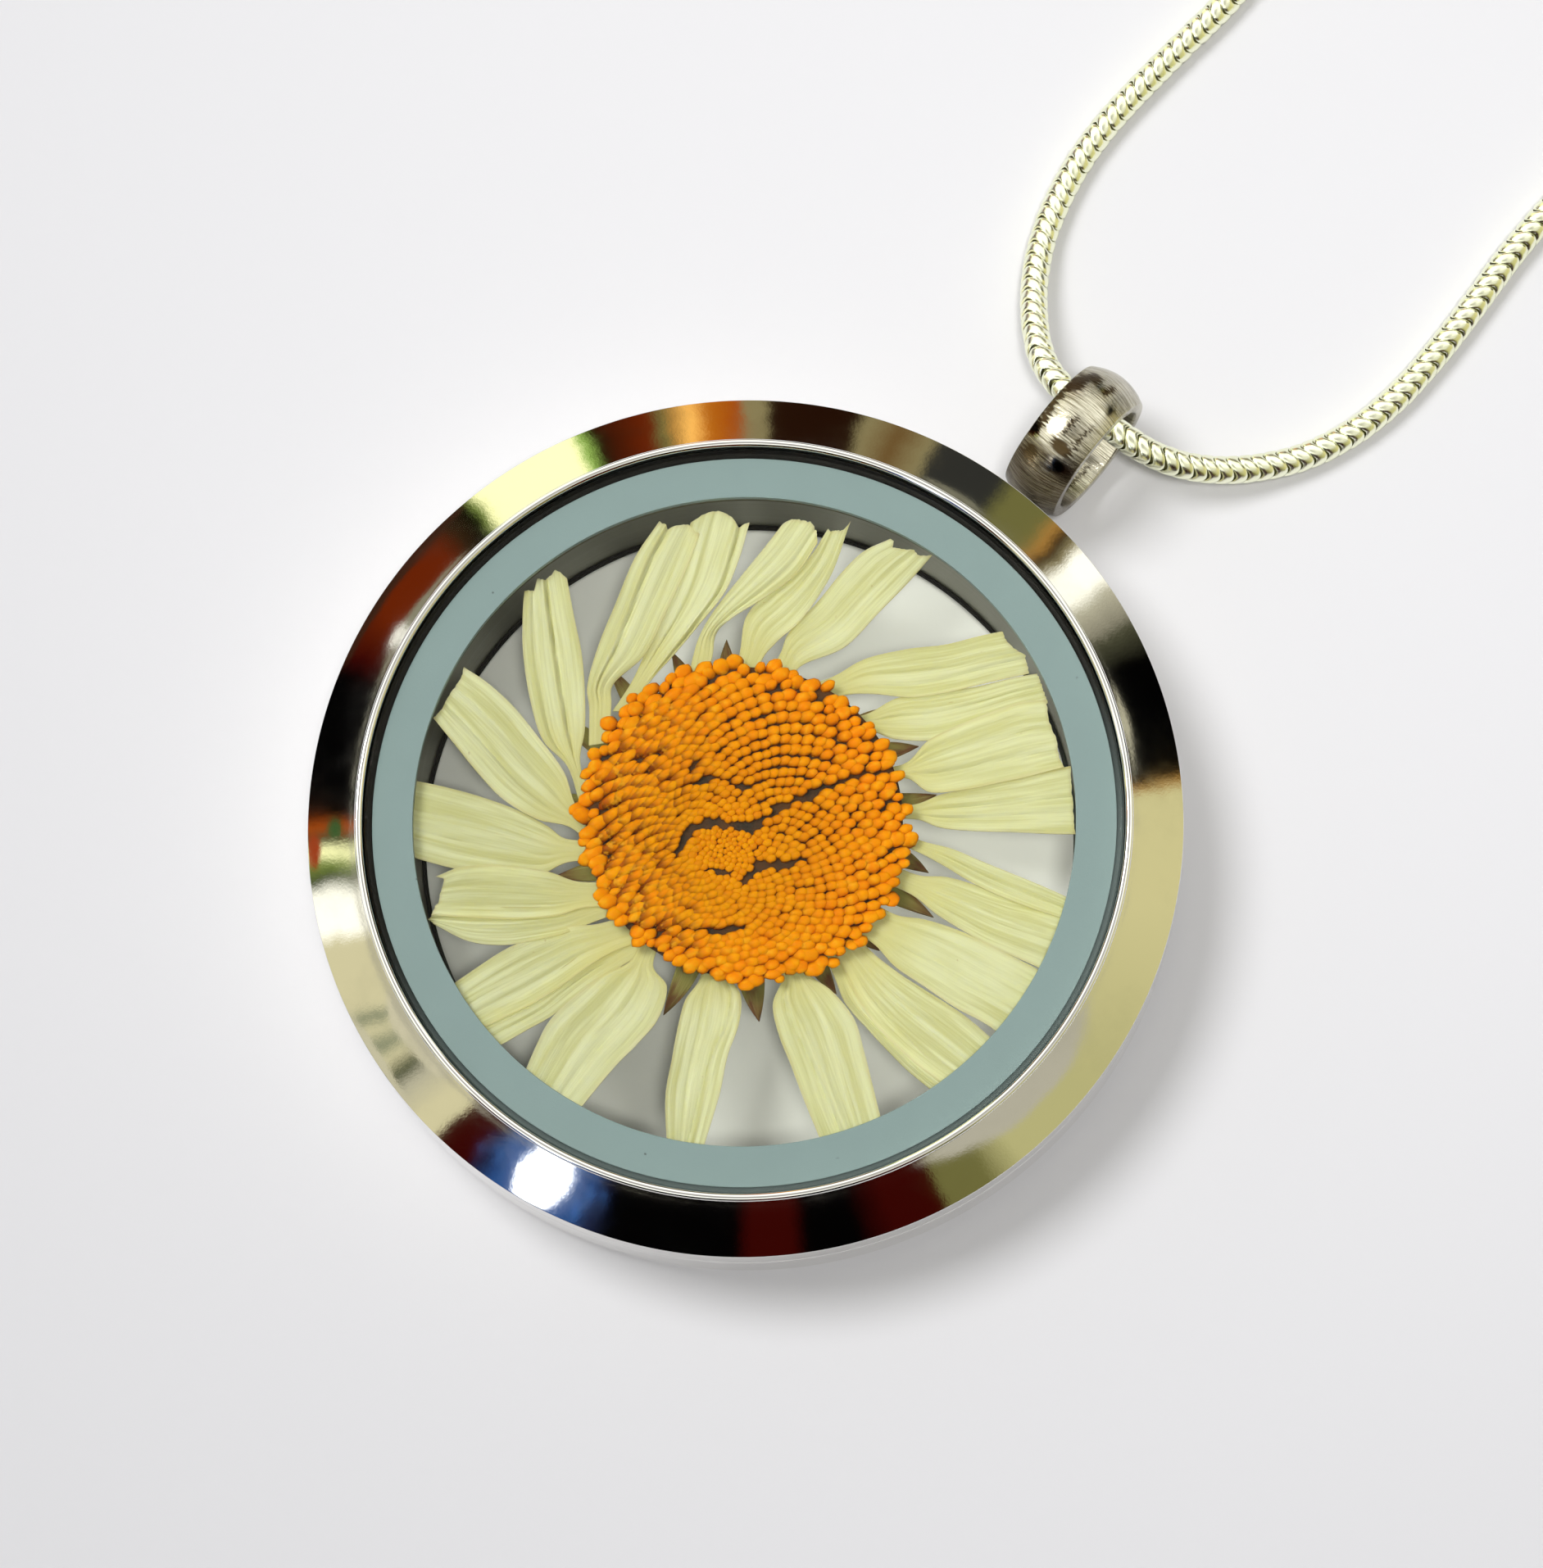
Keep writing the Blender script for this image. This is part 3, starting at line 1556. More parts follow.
# Petals: number, layer, stations in the photograph's pixels, steps of the end, and creases
PETALS = (
    RayPetal(1, 2, (
        (1092, 1116, 1066, 1152), (1125, 1122, 1092, 1180), (1160, 1133, 1130, 1206),
        (1195, 1147, 1165, 1230), (1230, 1165, 1195, 1246), (1275, 1188, 1225, 1265),
    ), creases=((-0.2, -0.3, 6), (0.5, 0.4, 4)), hidden_tip=True),
    RayPetal(2, 1, (
        (1120, 1068, 1112, 1092), (1155, 1071, 1142, 1116), (1195, 1082, 1178, 1138),
        (1232, 1093, 1212, 1157), (1268, 1101, 1245, 1172), (1306, 1110, 1280, 1188),
    ), creases=((0.0, 0.2, 5), (-0.5, -0.5, 4)), hidden_tip=True),
    RayPetal(3, 2, (
        (1124, 1026, 1120, 1040), (1160, 1036, 1153, 1058), (1195, 1050, 1187, 1078),
        (1230, 1064, 1222, 1095), (1268, 1080, 1260, 1110), (1308, 1098, 1300, 1122),
    ), creases=((0.1, 0.0, 5),), hidden_tip=True),
    RayPetal(4, 0, (
        (1116, 982, 1118, 1000), (1148, 970, 1148, 1010), (1190, 962, 1192, 1014),
        (1235, 952, 1236, 1016), (1272, 943, 1275, 1017), (1306, 936, 1312, 1018),
    ), creases=((0.2, 0.1, 6), (-0.4, -0.3, 4)), hidden_tip=True),
    RayPetal(5, 2, (
        (1104, 932, 1106, 950), (1133, 905, 1135, 967), (1170, 886, 1180, 964),
        (1210, 870, 1225, 954), (1245, 858, 1265, 945), (1276, 855, 1299, 937),
    ), ((-1, 0), (-0.7, 3), (-0.1, 0), (0.4, 3), (1, 0)), ((-0.2, -0.5, 8), (0.3, 0.2, 6), (0.6, 0.7, 4))),
    RayPetal(6, 0, (
        (1056, 872, 1060, 892), (1095, 852, 1095, 902), (1140, 845, 1145, 902),
        (1190, 838, 1195, 885), (1235, 828, 1240, 868), (1266, 822, 1279, 858),
    ), creases=((0.1, 0.2, 7),)),
    RayPetal(7, 1, (
        (1016, 826, 1034, 848), (1055, 804, 1065, 847), (1105, 793, 1115, 851),
        (1150, 787, 1165, 843), (1190, 777, 1210, 832), (1223, 771, 1259, 821),
    ), ((-1, 3), (-0.7, 0), (-0.2, -7), (0.2, 1), (0.7, 2), (1, 0)), ((0.1, 0.0, 5), (-0.6, -0.3, 5))),
    RayPetal(8, 0, (
        (951, 800, 968, 823), (963, 772, 985, 808), (998, 734, 1032, 788),
        (1026, 700, 1073, 747), (1054, 673, 1107, 711), (1085, 658, 1135, 680),
    ), ((-1, -4), (-0.6, 4), (-0.2, 0), (0.1, 4), (0.5, 9), (0.8, 0), (1, -2)), ((0.3, 0.2, 3),)),
    RayPetal(9, 1, (
        (902, 800, 930, 805), (910, 753, 947, 784), (935, 725, 975, 760),
        (966, 703, 1000, 725), (991, 675, 1019, 691), (1008, 648, 1036, 642),
    ), ((-1, -6), (-0.7, 4), (0, 3), (0.6, 1), (1, -4)), ((0.2, 0.3, 4),)),
    RayPetal(10, 2, (
        (846, 800, 869, 803), (854, 775, 874, 772), (872, 744, 895, 753),
        (905, 702, 936, 727), (936, 664, 973, 698), (956, 638, 1001, 658),
    ), ((-1, 6), (-0.6, -8), (-0.1, -15), (0.5, -12), (0.9, -6), (1, 2)), ((-0.6, -0.5, 4),)),
    RayPetal(11, 1, (
        (772, 830, 794, 831), (791, 788, 822, 800), (810, 750, 853, 764),
        (826, 703, 884, 725), (836, 662, 902, 683), (843, 639, 914, 642),
    ), ((-1, -3), (-0.8, -2), (-0.66, 3), (-0.3, -12), (0.2, -19), (0.7, -12), (1, 0)),
       ((-0.9, -0.7, 14), (0.3, 0.2, 3))),
    RayPetal(12, 2, (
        (719, 865, 746, 861), (717, 835, 749, 833), (731, 785, 787, 798),
        (752, 735, 812, 748), (775, 681, 838, 692), (804, 637, 854, 649),
    ), ((-1, 2), (-0.8, 0), (-0.3, -6), (0.3, 1), (0.45, 7), (0.6, 2), (1, -1)), ((0.1, 0.42, 12),)),
    RayPetal(13, 0, (
        (692, 935, 708, 930), (662, 903, 714, 890), (646, 850, 714, 845),
        (638, 795, 710, 798), (638, 752, 701, 754), (640, 722, 692, 706),
    ), ((-1, 0), (-0.8, -8), (-0.5, -15), (-0.2, -9), (0.05, -7), (0.4, -11), (0.55, 2), (1, 0)),
       ((-0.3, -0.02, 16), (0.55, 0.6, 7))),
    RayPetal(14, 1, (
        (696, 1010, 704, 985), (654, 1000, 688, 942), (615, 977, 654, 896),
        (585, 946, 627, 863), (554, 908, 596, 835), (529, 877, 567, 815),
    ), ((-1, -1), (-0.6, 3), (-0.2, 2), (0.3, 1), (0.5, 4), (1, 0)), ((0.3, 0.35, 7), (-0.2, -0.3, 4))),
    RayPetal(15, 0, (
        (695, 1052, 692, 1024), (660, 1066, 668, 1008), (620, 1068, 632, 989),
        (580, 1064, 590, 973), (540, 1056, 545, 961), (492, 1043, 492, 950),
    ), creases=((0.2, 0.3, 6), (-0.3, -0.3, 6), (0.6, 0.65, 4)), hidden_tip=True),
    RayPetal(16, 1, (
        (712, 1108, 706, 1076), (680, 1118, 672, 1066), (640, 1122, 632, 1059),
        (600, 1122, 595, 1056), (562, 1120, 562, 1060), (528, 1117, 540, 1068),
    ), ((-1, -8), (-0.8, 2), (-0.6, 4), (0.2, 3), (1, -2)), ((-0.2, -0.3, 5), (0.4, 0.4, 5))),
    RayPetal(17, 0, (
        (718, 1128, 714, 1100), (690, 1140, 688, 1106), (650, 1149, 648, 1108),
        (612, 1154, 608, 1108), (570, 1149, 568, 1110), (528, 1128, 528, 1118),
    ), ((-1, 0), (0, -6), (1, 2)), ((0.2, 0.2, 4),)),
    RayPetal(18, 1, (
        (752, 1160, 728, 1128), (718, 1180, 690, 1130), (682, 1206, 650, 1143),
        (647, 1227, 618, 1158), (614, 1243, 588, 1176), (575, 1262, 545, 1205),
    ), creases=((0.1, 0.0, 5), (-0.5, -0.4, 4)), hidden_tip=True),
    RayPetal(19, 0, (
        (764, 1176, 740, 1150), (730, 1197, 706, 1168), (700, 1219, 676, 1190),
        (672, 1242, 646, 1210), (640, 1260, 612, 1228), (604, 1280, 572, 1248),
    ), creases=((0.2, 0.3, 5),), hidden_tip=True),
    RayPetal(20, 1, (
        (797, 1178, 770, 1172), (814, 1205, 735, 1190), (803, 1245, 700, 1217),
        (778, 1275, 672, 1245), (750, 1303, 655, 1275), (705, 1358, 636, 1318),
    ), creases=((0.4, 0.3, 7), (-0.2, -0.1, 6), (-0.75, -0.8, 5)), hidden_tip=True),
    RayPetal(21, 0, (
        (888, 1188, 855, 1192), (904, 1215, 836, 1222), (902, 1250, 827, 1255),
        (888, 1290, 820, 1295), (878, 1338, 812, 1340), (857, 1406, 814, 1402),
    ), creases=((0.8, 0.1, 12), (-0.2, -0.3, 6)), hidden_tip=True),
    RayPetal(22, 1, (
        (985, 1186, 955, 1190), (1015, 1210, 943, 1225), (1042, 1243, 950, 1262),
        (1055, 1285, 965, 1300), (1065, 1325, 982, 1345), (1077, 1374, 1004, 1398),
    ), creases=((-0.7, -0.3, 14), (0.2, 0.1, 5)), hidden_tip=True),
    RayPetal(23, 0, (
        (1040, 1178, 1018, 1192), (1062, 1216, 1032, 1226), (1092, 1250, 1060, 1258),
        (1118, 1278, 1084, 1284), (1142, 1300, 1108, 1308), (1166, 1320, 1140, 1334),
    ), creases=((-0.2, -0.2, 4),), hidden_tip=True),
    RayPetal(24, 1, (
        (1062, 1160, 1028, 1180), (1095, 1187, 1046, 1218), (1125, 1206, 1068, 1250),
        (1152, 1223, 1092, 1275), (1182, 1244, 1120, 1300), (1218, 1275, 1160, 1330),
    ), creases=((0.1, 0.0, 6), (-0.5, -0.5, 4)), hidden_tip=True),
)


@dataclass
class Daisy:
    """The pressed flower: petals, florets, cup and bracts."""

    sizes: Sizes
    floret_small: float = 0.17 * MM
    floret_middle: float = 0.29 * MM
    floret_rim: float = 0.40 * MM
    floret_inset: float = 0.22 * MM
    floret_sides: int = 13
    packing: float = 0.88
    jitter: float = 0.07
    thinning: float = 0.08
    sunk_share: float = 0.30
    top_gap: float = 0.005 * MM
    least_drop: float = 0.02 * MM
    dome_edge: float = 0.12 * MM
    dome_height: float = 0.28 * MM
    dome_tip: float = 0.05 * MM
    oval: float = 0.032
    oval_turn: float = VIEW_TURN + 0.75 * math.pi
    swirl: tuple[float, float] = (0.2 * MM, -1.2 * MM)
    crack_push: float = 1.2
    crack_reach: float = 0.28 * MM
    bract_low: float = 3.50 * MM
    bract_foot: float = 4.4
    bract_cut: float = 0.22
    bract_thickness: float = 0.05 * MM
    bract_rows: int = 14
    bract_columns: int = 7
    cup_share: float = 0.4
    cup_ribs: float = 7
    cup_dryness: float = 0.7

    # Side of a floret: half width and height as shares
    floret_outline: tuple[tuple[float, float], ...] = (
        (0.70, 0.0), (0.98, 0.30), (1.0, 0.55), (0.80, 0.82), (0.42, 0.97),
    )

    # Cracks between the florets: half width and a line through points of the disc, in millimetres
    cracks: tuple[tuple[float, tuple[tuple[float, float], ...]], ...] = (
        (0.070, ((-1.1, -2.5), (-1.2, -1.3), (-0.9, -0.9), (0.4, 0.0), (0.7, 1.1), (1.3, 2.3), (2.2, 3.9))),
        (0.045, ((-2.2, -0.3), (-1.9, 0.3), (-1.2, 0.7), (-0.5, 1.0))),
        (0.060, ((1.4, -1.7), (1.4, -1.0), (1.9, -0.5), (2.5, 0.3))),
        (0.045, ((0.1, -2.2), (0.8, -1.8))),
        (0.060, ((-0.3, -5.0), (1.5, -3.8), (2.3, -2.9))),
    )

    # Bracts seen between the petals: angle at the foot, angle and radius at the end, and the width
    bracts: tuple[tuple[float, float, float, float], ...] = (
        (287.8, 286.5, 7.9, 0.85), (311.2, 313.6, 7.5, 1.0), (97.8, 93.9, 7.5, 0.8),
        (70.6, 64.5, 7.2, 0.8), (49.5, 48.8, 7.3, 0.8), (28.2, 24.7, 7.1, 0.8),
        (13.4, 13.0, 8.0, 0.8), (355.2, 356.0, 6.9, 0.7), (338.2, 337.5, 7.3, 0.8),
        (192.5, 188.3, 9.0, 0.8), (213.5, 211.8, 8.8, 0.8), (175.8, 169.4, 8.4, 0.8),
        (134.9, 135.3, 7.3, 0.8), (116.0, 113.0, 7.2, 0.8), (154.0, 152.0, 7.4, 0.8),
        (236.0, 234.0, 7.4, 0.8), (262.0, 261.0, 7.5, 0.8), (82.0, 80.0, 7.0, 0.7),
    )

    def dome(self, radius: np.ndarray) -> np.ndarray:
        """Height of the disc's ground at radii from its middle.

        Args:
            radius: The radii.

        Returns:
            A height for each radius.
        """
        size = self.sizes
        share = np.clip(radius / size.disc_radius, 0, 1)
        rise = self.dome_height * (1 - share**2.4) + self.dome_tip * (1 - share)
        return size.disc_base + self.dome_edge + rise

    def spacing(self, share: np.ndarray) -> np.ndarray:
        """Distance between florets at shares of the disc's radius."""
        middle = self.floret_small + (self.floret_middle - self.floret_small) * smooth(share / 0.32)
        return middle + (self.floret_rim - self.floret_middle) * smooth((share - 0.30) / 0.70)

    def floret_spots(self) -> tuple[np.ndarray, np.ndarray, np.ndarray]:
        """Middles of the florets with their spacings and their shares of the disc's radius.

        Returns:
            The middles, the spacings and the shares.
        """
        limit = self.sizes.disc_radius - self.floret_inset
        fine = np.linspace(0, 1, 4000)
        density = TAU * fine * limit**2 / (self.packing * self.spacing(fine) ** 2)
        counted = np.concatenate([[0], np.cumsum((density[1:] + density[:-1]) / 2 * np.diff(fine))])
        total = int(counted[-1])
        share = np.interp(np.arange(total) + 0.5, counted, fine)
        turn = np.arange(total) * GOLDEN_TURN
        spots = limit * share[:, None] * np.stack([np.cos(turn), np.sin(turn)], axis=1)
        spots += np.array(self.swirl) * ((1 - share**2) ** 1.5)[:, None]
        long_way = round_way(self.oval_turn)
        cross_way = np.array([-long_way[1], long_way[0]])
        longer, wider = (np.outer(spots @ way, way) * self.oval for way in (long_way, cross_way))
        spots += longer - wider
        return spots, self.spacing(share), share

    def away_from_cracks(self, spots: np.ndarray) -> tuple[np.ndarray, np.ndarray]:
        """Spots pushed off the cracks, and which of them stay.

        Args:
            spots: Middles of the florets.

        Returns:
            The moved spots, and true for each one that stays.
        """
        moved = spots.copy()
        keep = np.ones(len(spots), bool)
        for half, crack in self.cracks:
            line = np.array(crack) * MM
            for start, end in zip(line[:-1], line[1:]):
                run = end - start
                share = np.clip(((spots - start) @ run) / (run @ run), 0, 1)
                off = spots - (start + share[:, None] * run)
                far = np.linalg.norm(off, axis=1)
                keep &= far > half * MM
                push = self.crack_push * half * MM * np.exp(-((far / self.crack_reach) ** 2))
                moved += off / np.maximum(far, 1e-9)[:, None] * push[:, None]
        return moved, keep

    def combed(self, spot: np.ndarray) -> tuple[float, np.ndarray]:
        """How far to the photograph's left a floret is, and the way it is combed.

        Args:
            spot: Middle of the floret.

        Returns:
            The share and the direction.
        """
        right = spot[0] * math.cos(VIEW_TURN) + spot[1] * math.sin(VIEW_TURN)
        up = spot[1] * math.cos(VIEW_TURN) - spot[0] * math.sin(VIEW_TURN)
        left = float(smooth(np.array(-right / self.sizes.disc_radius / 0.55 + 0.05)))
        return left, round_way(math.radians(15 + 19 * left + 5 * up / self.sizes.disc_radius) + VIEW_TURN)

    def floret(
        self, spot: np.ndarray, gap: float, share: float, chance: np.random.Generator
    ) -> tuple[np.ndarray, np.ndarray] | None:
        """One floret, leaning and stretched the way that its neighbours are.

        Args:
            spot: Its middle.
            gap: Distance to its neighbours.
            share: Its share of the disc's radius.
            chance: Where its random numbers come from.

        Returns:
            Its points and, for each, its ripeness, height and random share, or None where it has
            fallen out.
        """
        turns = np.arange(self.floret_sides) * TAU / self.floret_sides
        radius = math.hypot(*spot)
        outward = spot / max(radius, 1e-9)
        left, ahead = self.combed(spot)
        across = np.array([-ahead[1], ahead[0]])
        rim = eased(share, 0.84, 0.10)
        middle = eased(share, 0.15, 0.25) * (1 - rim)
        if left * middle > 0.6 and chance.random() < self.thinning:
            return None
        flare = 0.35 * rim * chance.random()
        stretch = 1.06 + flare + middle * (0.24 + 0.62 * left * chance.uniform(0.6, 1.2))
        uneven = chance.normal(0, 0.085 * rim) - 0.03 * rim
        wide = gap * (chance.uniform(0.56, 0.66) + uneven) * (1 + 0.16 * left * middle)
        tall = gap * chance.uniform(0.75, 1.0)
        base = self.dome(np.array(radius)) - self.sunk_share * tall
        limit = self.sizes.disc_top - self.top_gap
        tall = min(tall, limit - base - self.least_drop)
        lean = ahead * (0.25 + 0.45 * left) * (1 - rim) + outward * 0.55 * rim
        lean = (lean + chance.normal(0, 0.10 + 0.25 * rim, 2)) * tall * 0.8
        lumps = 1 + 0.05 * np.cos(5 * turns + chance.uniform(0, TAU))
        points, bright = [], []
        for out, up in (*self.floret_outline, (0.0, 1.0)):
            count = self.floret_sides if out else 1
            ring = turns[:count]
            bulge = lumps[:count] * wide * out
            forward = np.outer(np.cos(ring) * bulge * stretch, ahead)
            flat = spot + lean * up + forward + np.outer(np.sin(ring) * bulge / stretch**0.4, across)
            height = np.minimum(base + up * tall + 0.12 * middle * np.cos(ring) * bulge, limit)
            points.append(np.concatenate([flat, height[:, None]], axis=1))
            fall = middle * (0.25 + 0.28 * left) * (1 - np.cos(ring) * (1 if out else 0))
            bright.append(np.clip(up - 0.5 * fall, 0, 1))
        ripe = eased(share, 0.30, 0.55) * chance.uniform(0.75, 1.0)
        bright = np.concatenate(bright)
        rows = np.stack([np.full(len(bright), ripe), bright, np.full(len(bright), chance.random())], axis=1)
        return np.concatenate(points), rows

    def floret_mesh(self) -> bpy.types.Mesh:
        """One mesh of all the florets.

        Returns:
            The mesh.
        """
        chance = np.random.default_rng(41)
        spots, gaps, shares = self.floret_spots()
        jitter = chance.normal(0, 1, spots.shape) * gaps[:, None] * self.jitter
        spots, keep = self.away_from_cracks(spots + jitter)
        made = (self.floret(*row, chance) for row in zip(spots[keep], gaps[keep], shares[keep]))
        florets = [floret for floret in made if floret]
        body = np.arange(len(self.floret_outline) * self.floret_sides).reshape(-1, self.floret_sides)
        beside = np.roll(body, -1, axis=1)
        walls = np.stack([body[:-1], beside[:-1], beside[1:], body[1:]], -1).reshape(-1, 4)
        cap = np.stack([body[-1], beside[-1], np.full(self.floret_sides, body.size)], -1)
        faces = []
        for first in range(0, len(florets) * (body.size + 1), body.size + 1):
            faces += (walls + first).tolist() + (cap + first).tolist()
        mesh = mesh_from("disc_florets", np.concatenate([points for points, _ in florets]), faces)
        colour_points(mesh, "floret", np.concatenate([rows for _, rows in florets]))
        return mesh

    def ground(self) -> Turned:
        """Ground of the disc, under the florets.

        Returns:
            The turned piece.
        """
        size = self.sizes
        radii = np.linspace(size.disc_radius - 0.35 * MM, 0, 16)
        return Turned("disc_ground", (
            Corner(0, size.disc_base),
            Corner(size.disc_radius - 0.5 * MM, size.disc_base, 0.05 * MM),
            *(Corner(float(out), float(self.dome(out))) for out in radii),
        ), 96)

    def cup(self) -> Turned:
        """Green cup behind the disc.

        Returns:
            The turned piece.
        """
        low = self.sizes.back_glass_top + 0.06 * MM
        return Turned("calyx_cup", (
            Corner(0, low),
            Corner(2.0 * MM, low, 0.3 * MM),
            Corner(3.4 * MM, low + 0.9 * MM, 0.5 * MM),
            Corner(5.15 * MM, self.bract_low, 0.4 * MM),
            Corner(5.0 * MM, self.bract_low + 0.3 * MM, 0.1 * MM),
            Corner(4.6 * MM, self.bract_low + 0.8 * MM, 0.05 * MM),
            Corner(0, self.bract_low + 0.8 * MM),
        ), 96)

    def bract_mesh(self) -> bpy.types.Mesh:
        """One mesh of all the bracts.

        Returns:
            The mesh.
        """
        chance = np.random.default_rng(77)
        points, faces, rows = [], [], []
        for foot_turn, end_turn, end_radius, wide in self.bracts:
            reach = end_radius - self.bract_cut * (end_radius - self.bract_foot)
            foot = self.bract_foot * MM * round_way(math.radians(foot_turn))
            end = reach * MM * round_way(math.radians(end_turn))
            along, across = np.meshgrid(
                np.linspace(0, 1, self.bract_rows), np.linspace(-1, 1, self.bract_columns), indexing="ij"
            )
            ahead = end - foot
            square = np.array([-ahead[1], ahead[0]]) / np.linalg.norm(ahead)
            half = wide * MM / 2 * np.clip(1 - along**2.6, 0.02, 1)
            bow = chance.uniform(-0.15, 0.15) * MM * np.sin(along * math.pi)
            flat = foot + along[..., None] * ahead + square * (across * half + bow)[..., None]
            height = (
                self.bract_low + 0.16 * MM
                + 0.06 * MM * (1 - across**2)
                + chance.uniform(-0.04, 0.02) * MM * along
            )
            grid = np.concatenate([flat, height[..., None]], axis=-1)
            piece = sheet_mesh("bract", grid, self.bract_thickness)
            first = sum(len(block) for block in points)
            block = np.array([vertex.co[:] for vertex in piece.vertices])
            points.append(block)
            faces.extend([[number + first for number in face.vertices] for face in piece.polygons])
            bpy.data.meshes.remove(piece)
            share = np.full(along.shape, chance.random())
            rows.append(np.tile(np.stack([share, (across + 1) / 2, along], -1).reshape(-1, 3), (2, 1)))
        mesh = mesh_from("calyx_bracts", np.concatenate(points), faces, 50)
        colour_points(mesh, "leaf", np.concatenate(rows))
        return mesh

    def build(self) -> None:
        """Add the flower's pieces."""
        for petal in PETALS:
            node = f"petal_{petal.number:02d}"
            add_piece(petal.mesh(), f"ray_{node}", TISSUE, Body.BACK, [node])
        self.ground().build(GROUND, Body.BACK, Slot.FLORET, "flower_disc")
        add_piece(self.floret_mesh(), "disc_florets", FLORETS, Body.BACK, ["flower_disc"])
        cup = self.cup().build(LEAF, Body.BACK, Slot.GREEN, "calyx").data
        spots = np.array([point.co[:] for point in cup.vertices])
        turn = np.abs(np.arctan2(spots[:, 1], spots[:, 0])) / TAU
        out = np.hypot(spots[:, 0], spots[:, 1]) / self.sizes.disc_radius
        leaf = (np.full(len(out), self.cup_share), turn * self.cup_ribs * out, out * self.cup_dryness)
        colour_points(cup, "leaf", np.stack(leaf, axis=1))
        add_piece(self.bract_mesh(), "calyx_bracts", LEAF, Body.BACK, ["calyx"])


@dataclass(frozen=True)
class Strand:
    """Half of the chain: the points its route is chosen by, in millimetres, and how its links turn."""

    name: str
    node: str
    route: tuple[Triple, ...]
    first_turn: float
    turn_pace: float
    core_radius: float = 0.41 * MM
    core_sides: int = 12
    pitch: float = 0.5 * MM
    wave: float = 0.155 * MM
    sharpness: float = 0.94
    half_band: float = 0.236 * MM
    narrowing: float = 0.10
    unevenness: float = 0.006 * MM
    wear: float = 0.012
    around: int = 24

    # Section of a link: place along it in half widths, and radius in millimetres
    section: tuple[tuple[float, float], ...] = (
        (-1.0, 0.440), (-0.80, 0.484), (-0.35, 0.498), (0.35, 0.498), (0.80, 0.484), (1.0, 0.440),
        (0.7, 0.38), (-0.7, 0.38),
    )

    def path(self) -> np.ndarray:
        """Points of the smooth route, closely spaced.

        Returns:
            A row for each point.
        """
        curve = bpy.data.curves.new(f"{self.name}_route", "CURVE")
        curve.dimensions = "3D"
        curve.resolution_u = 40
        spline = curve.splines.new("NURBS")
        spline.points.add(len(self.route) - 1)
        for point, spot in zip(spline.points, self.route):
            point.co = (*(part * MM for part in spot), 1.0)
        spline.order_u = 3
        spline.use_endpoint_u = True
        holder = placed(f"{self.name}_route", curve)
        bpy.context.view_layer.update()
        read = bpy.data.meshes.new_from_object(holder)
        points = np.array([vertex.co[:] for vertex in read.vertices])
        bpy.data.objects.remove(holder)
        bpy.data.meshes.remove(read)
        bpy.data.curves.remove(curve)
        return points

    def stations(self, step: float) -> tuple[np.ndarray, np.ndarray, np.ndarray]:
        """Points at even steps along the route, with their directions and distances.

        Args:
            step: Distance between stations.

        Returns:
            Points, directions and distances.
        """
        points = self.path()
        runs = np.concatenate([[0], np.cumsum(np.linalg.norm(np.diff(points, axis=0), axis=1))])
        count = int(runs[-1] / step)
        places = np.linspace(0, runs[-1], count + 1)
        spots = np.stack([np.interp(places, runs, points[:, way]) for way in range(3)], axis=1)
        ahead = np.gradient(spots, axis=0)
        kernel = np.array([1, 2, 3, 2, 1]) / 9
        padded = np.pad(ahead, ((2, 2), (0, 0)), mode="edge")
        ahead = np.stack([np.convolve(padded[:, way], kernel, mode="valid") for way in range(3)], axis=1)
        ahead /= np.linalg.norm(ahead, axis=1, keepdims=True)
        return spots, ahead, places

    @staticmethod
    def frames(ahead: np.ndarray) -> tuple[np.ndarray, np.ndarray]:
        """Sideways and upward directions at each station.

        Args:
            ahead: Directions of the route.

        Returns:
            The sideways and the upward directions.
        """
        side = np.cross(ahead, (0.0, 0.0, 1.0))
        side /= np.linalg.norm(side, axis=1, keepdims=True)
        return side, np.cross(side, ahead)

    def links_mesh(self) -> bpy.types.Mesh:
        """One mesh of all the links of this strand.

        Returns:
            The mesh.
        """
        spots, ahead, places = self.stations(self.pitch)
        side, up = self.frames(ahead)
        chance = np.random.default_rng(len(self.route) + int(self.first_turn))
        band = np.array(self.section) * (1.0, MM)
        turns = np.arange(self.around) * TAU / self.around
        blocks, faces = [], []
        rows = len(band)
        numbers = np.arange(rows * self.around).reshape(rows, self.around)
        beside, above = np.roll(numbers, -1, axis=1), np.roll(numbers, -1, axis=0)
        both = np.roll(above, -1, axis=1)
        ring = np.stack([numbers, above, both, beside], -1).reshape(-1, 4)
        for index, place in enumerate(places[1:-1], 1):
            twist = math.radians(self.first_turn + self.turn_pace * place / MM)
            bent = np.arcsin(self.sharpness * np.cos(2 * (turns - twist)))
            lift = self.wave * bent / math.asin(self.sharpness)
            wide = self.half_band * (1 - self.narrowing * np.cos(4 * (turns - twist)))
            tilt = chance.normal(0, self.unevenness)
            swell = 1 - abs(chance.normal(0, self.wear))
            along = band[:, 0:1] * wide + lift + tilt * np.cos(turns)
            out = band[:, 1:2] * swell
            block = (
                spots[index]
                + along[..., None] * ahead[index]
                + (out * np.cos(turns))[..., None] * side[index]
                + (out * np.sin(turns))[..., None] * up[index]
            )
            blocks.append(block.reshape(-1, 3))
            faces.append(ring + (index - 1) * rows * self.around)
        return mesh_from(f"{self.name}_links", np.concatenate(blocks), np.concatenate(faces), 45)

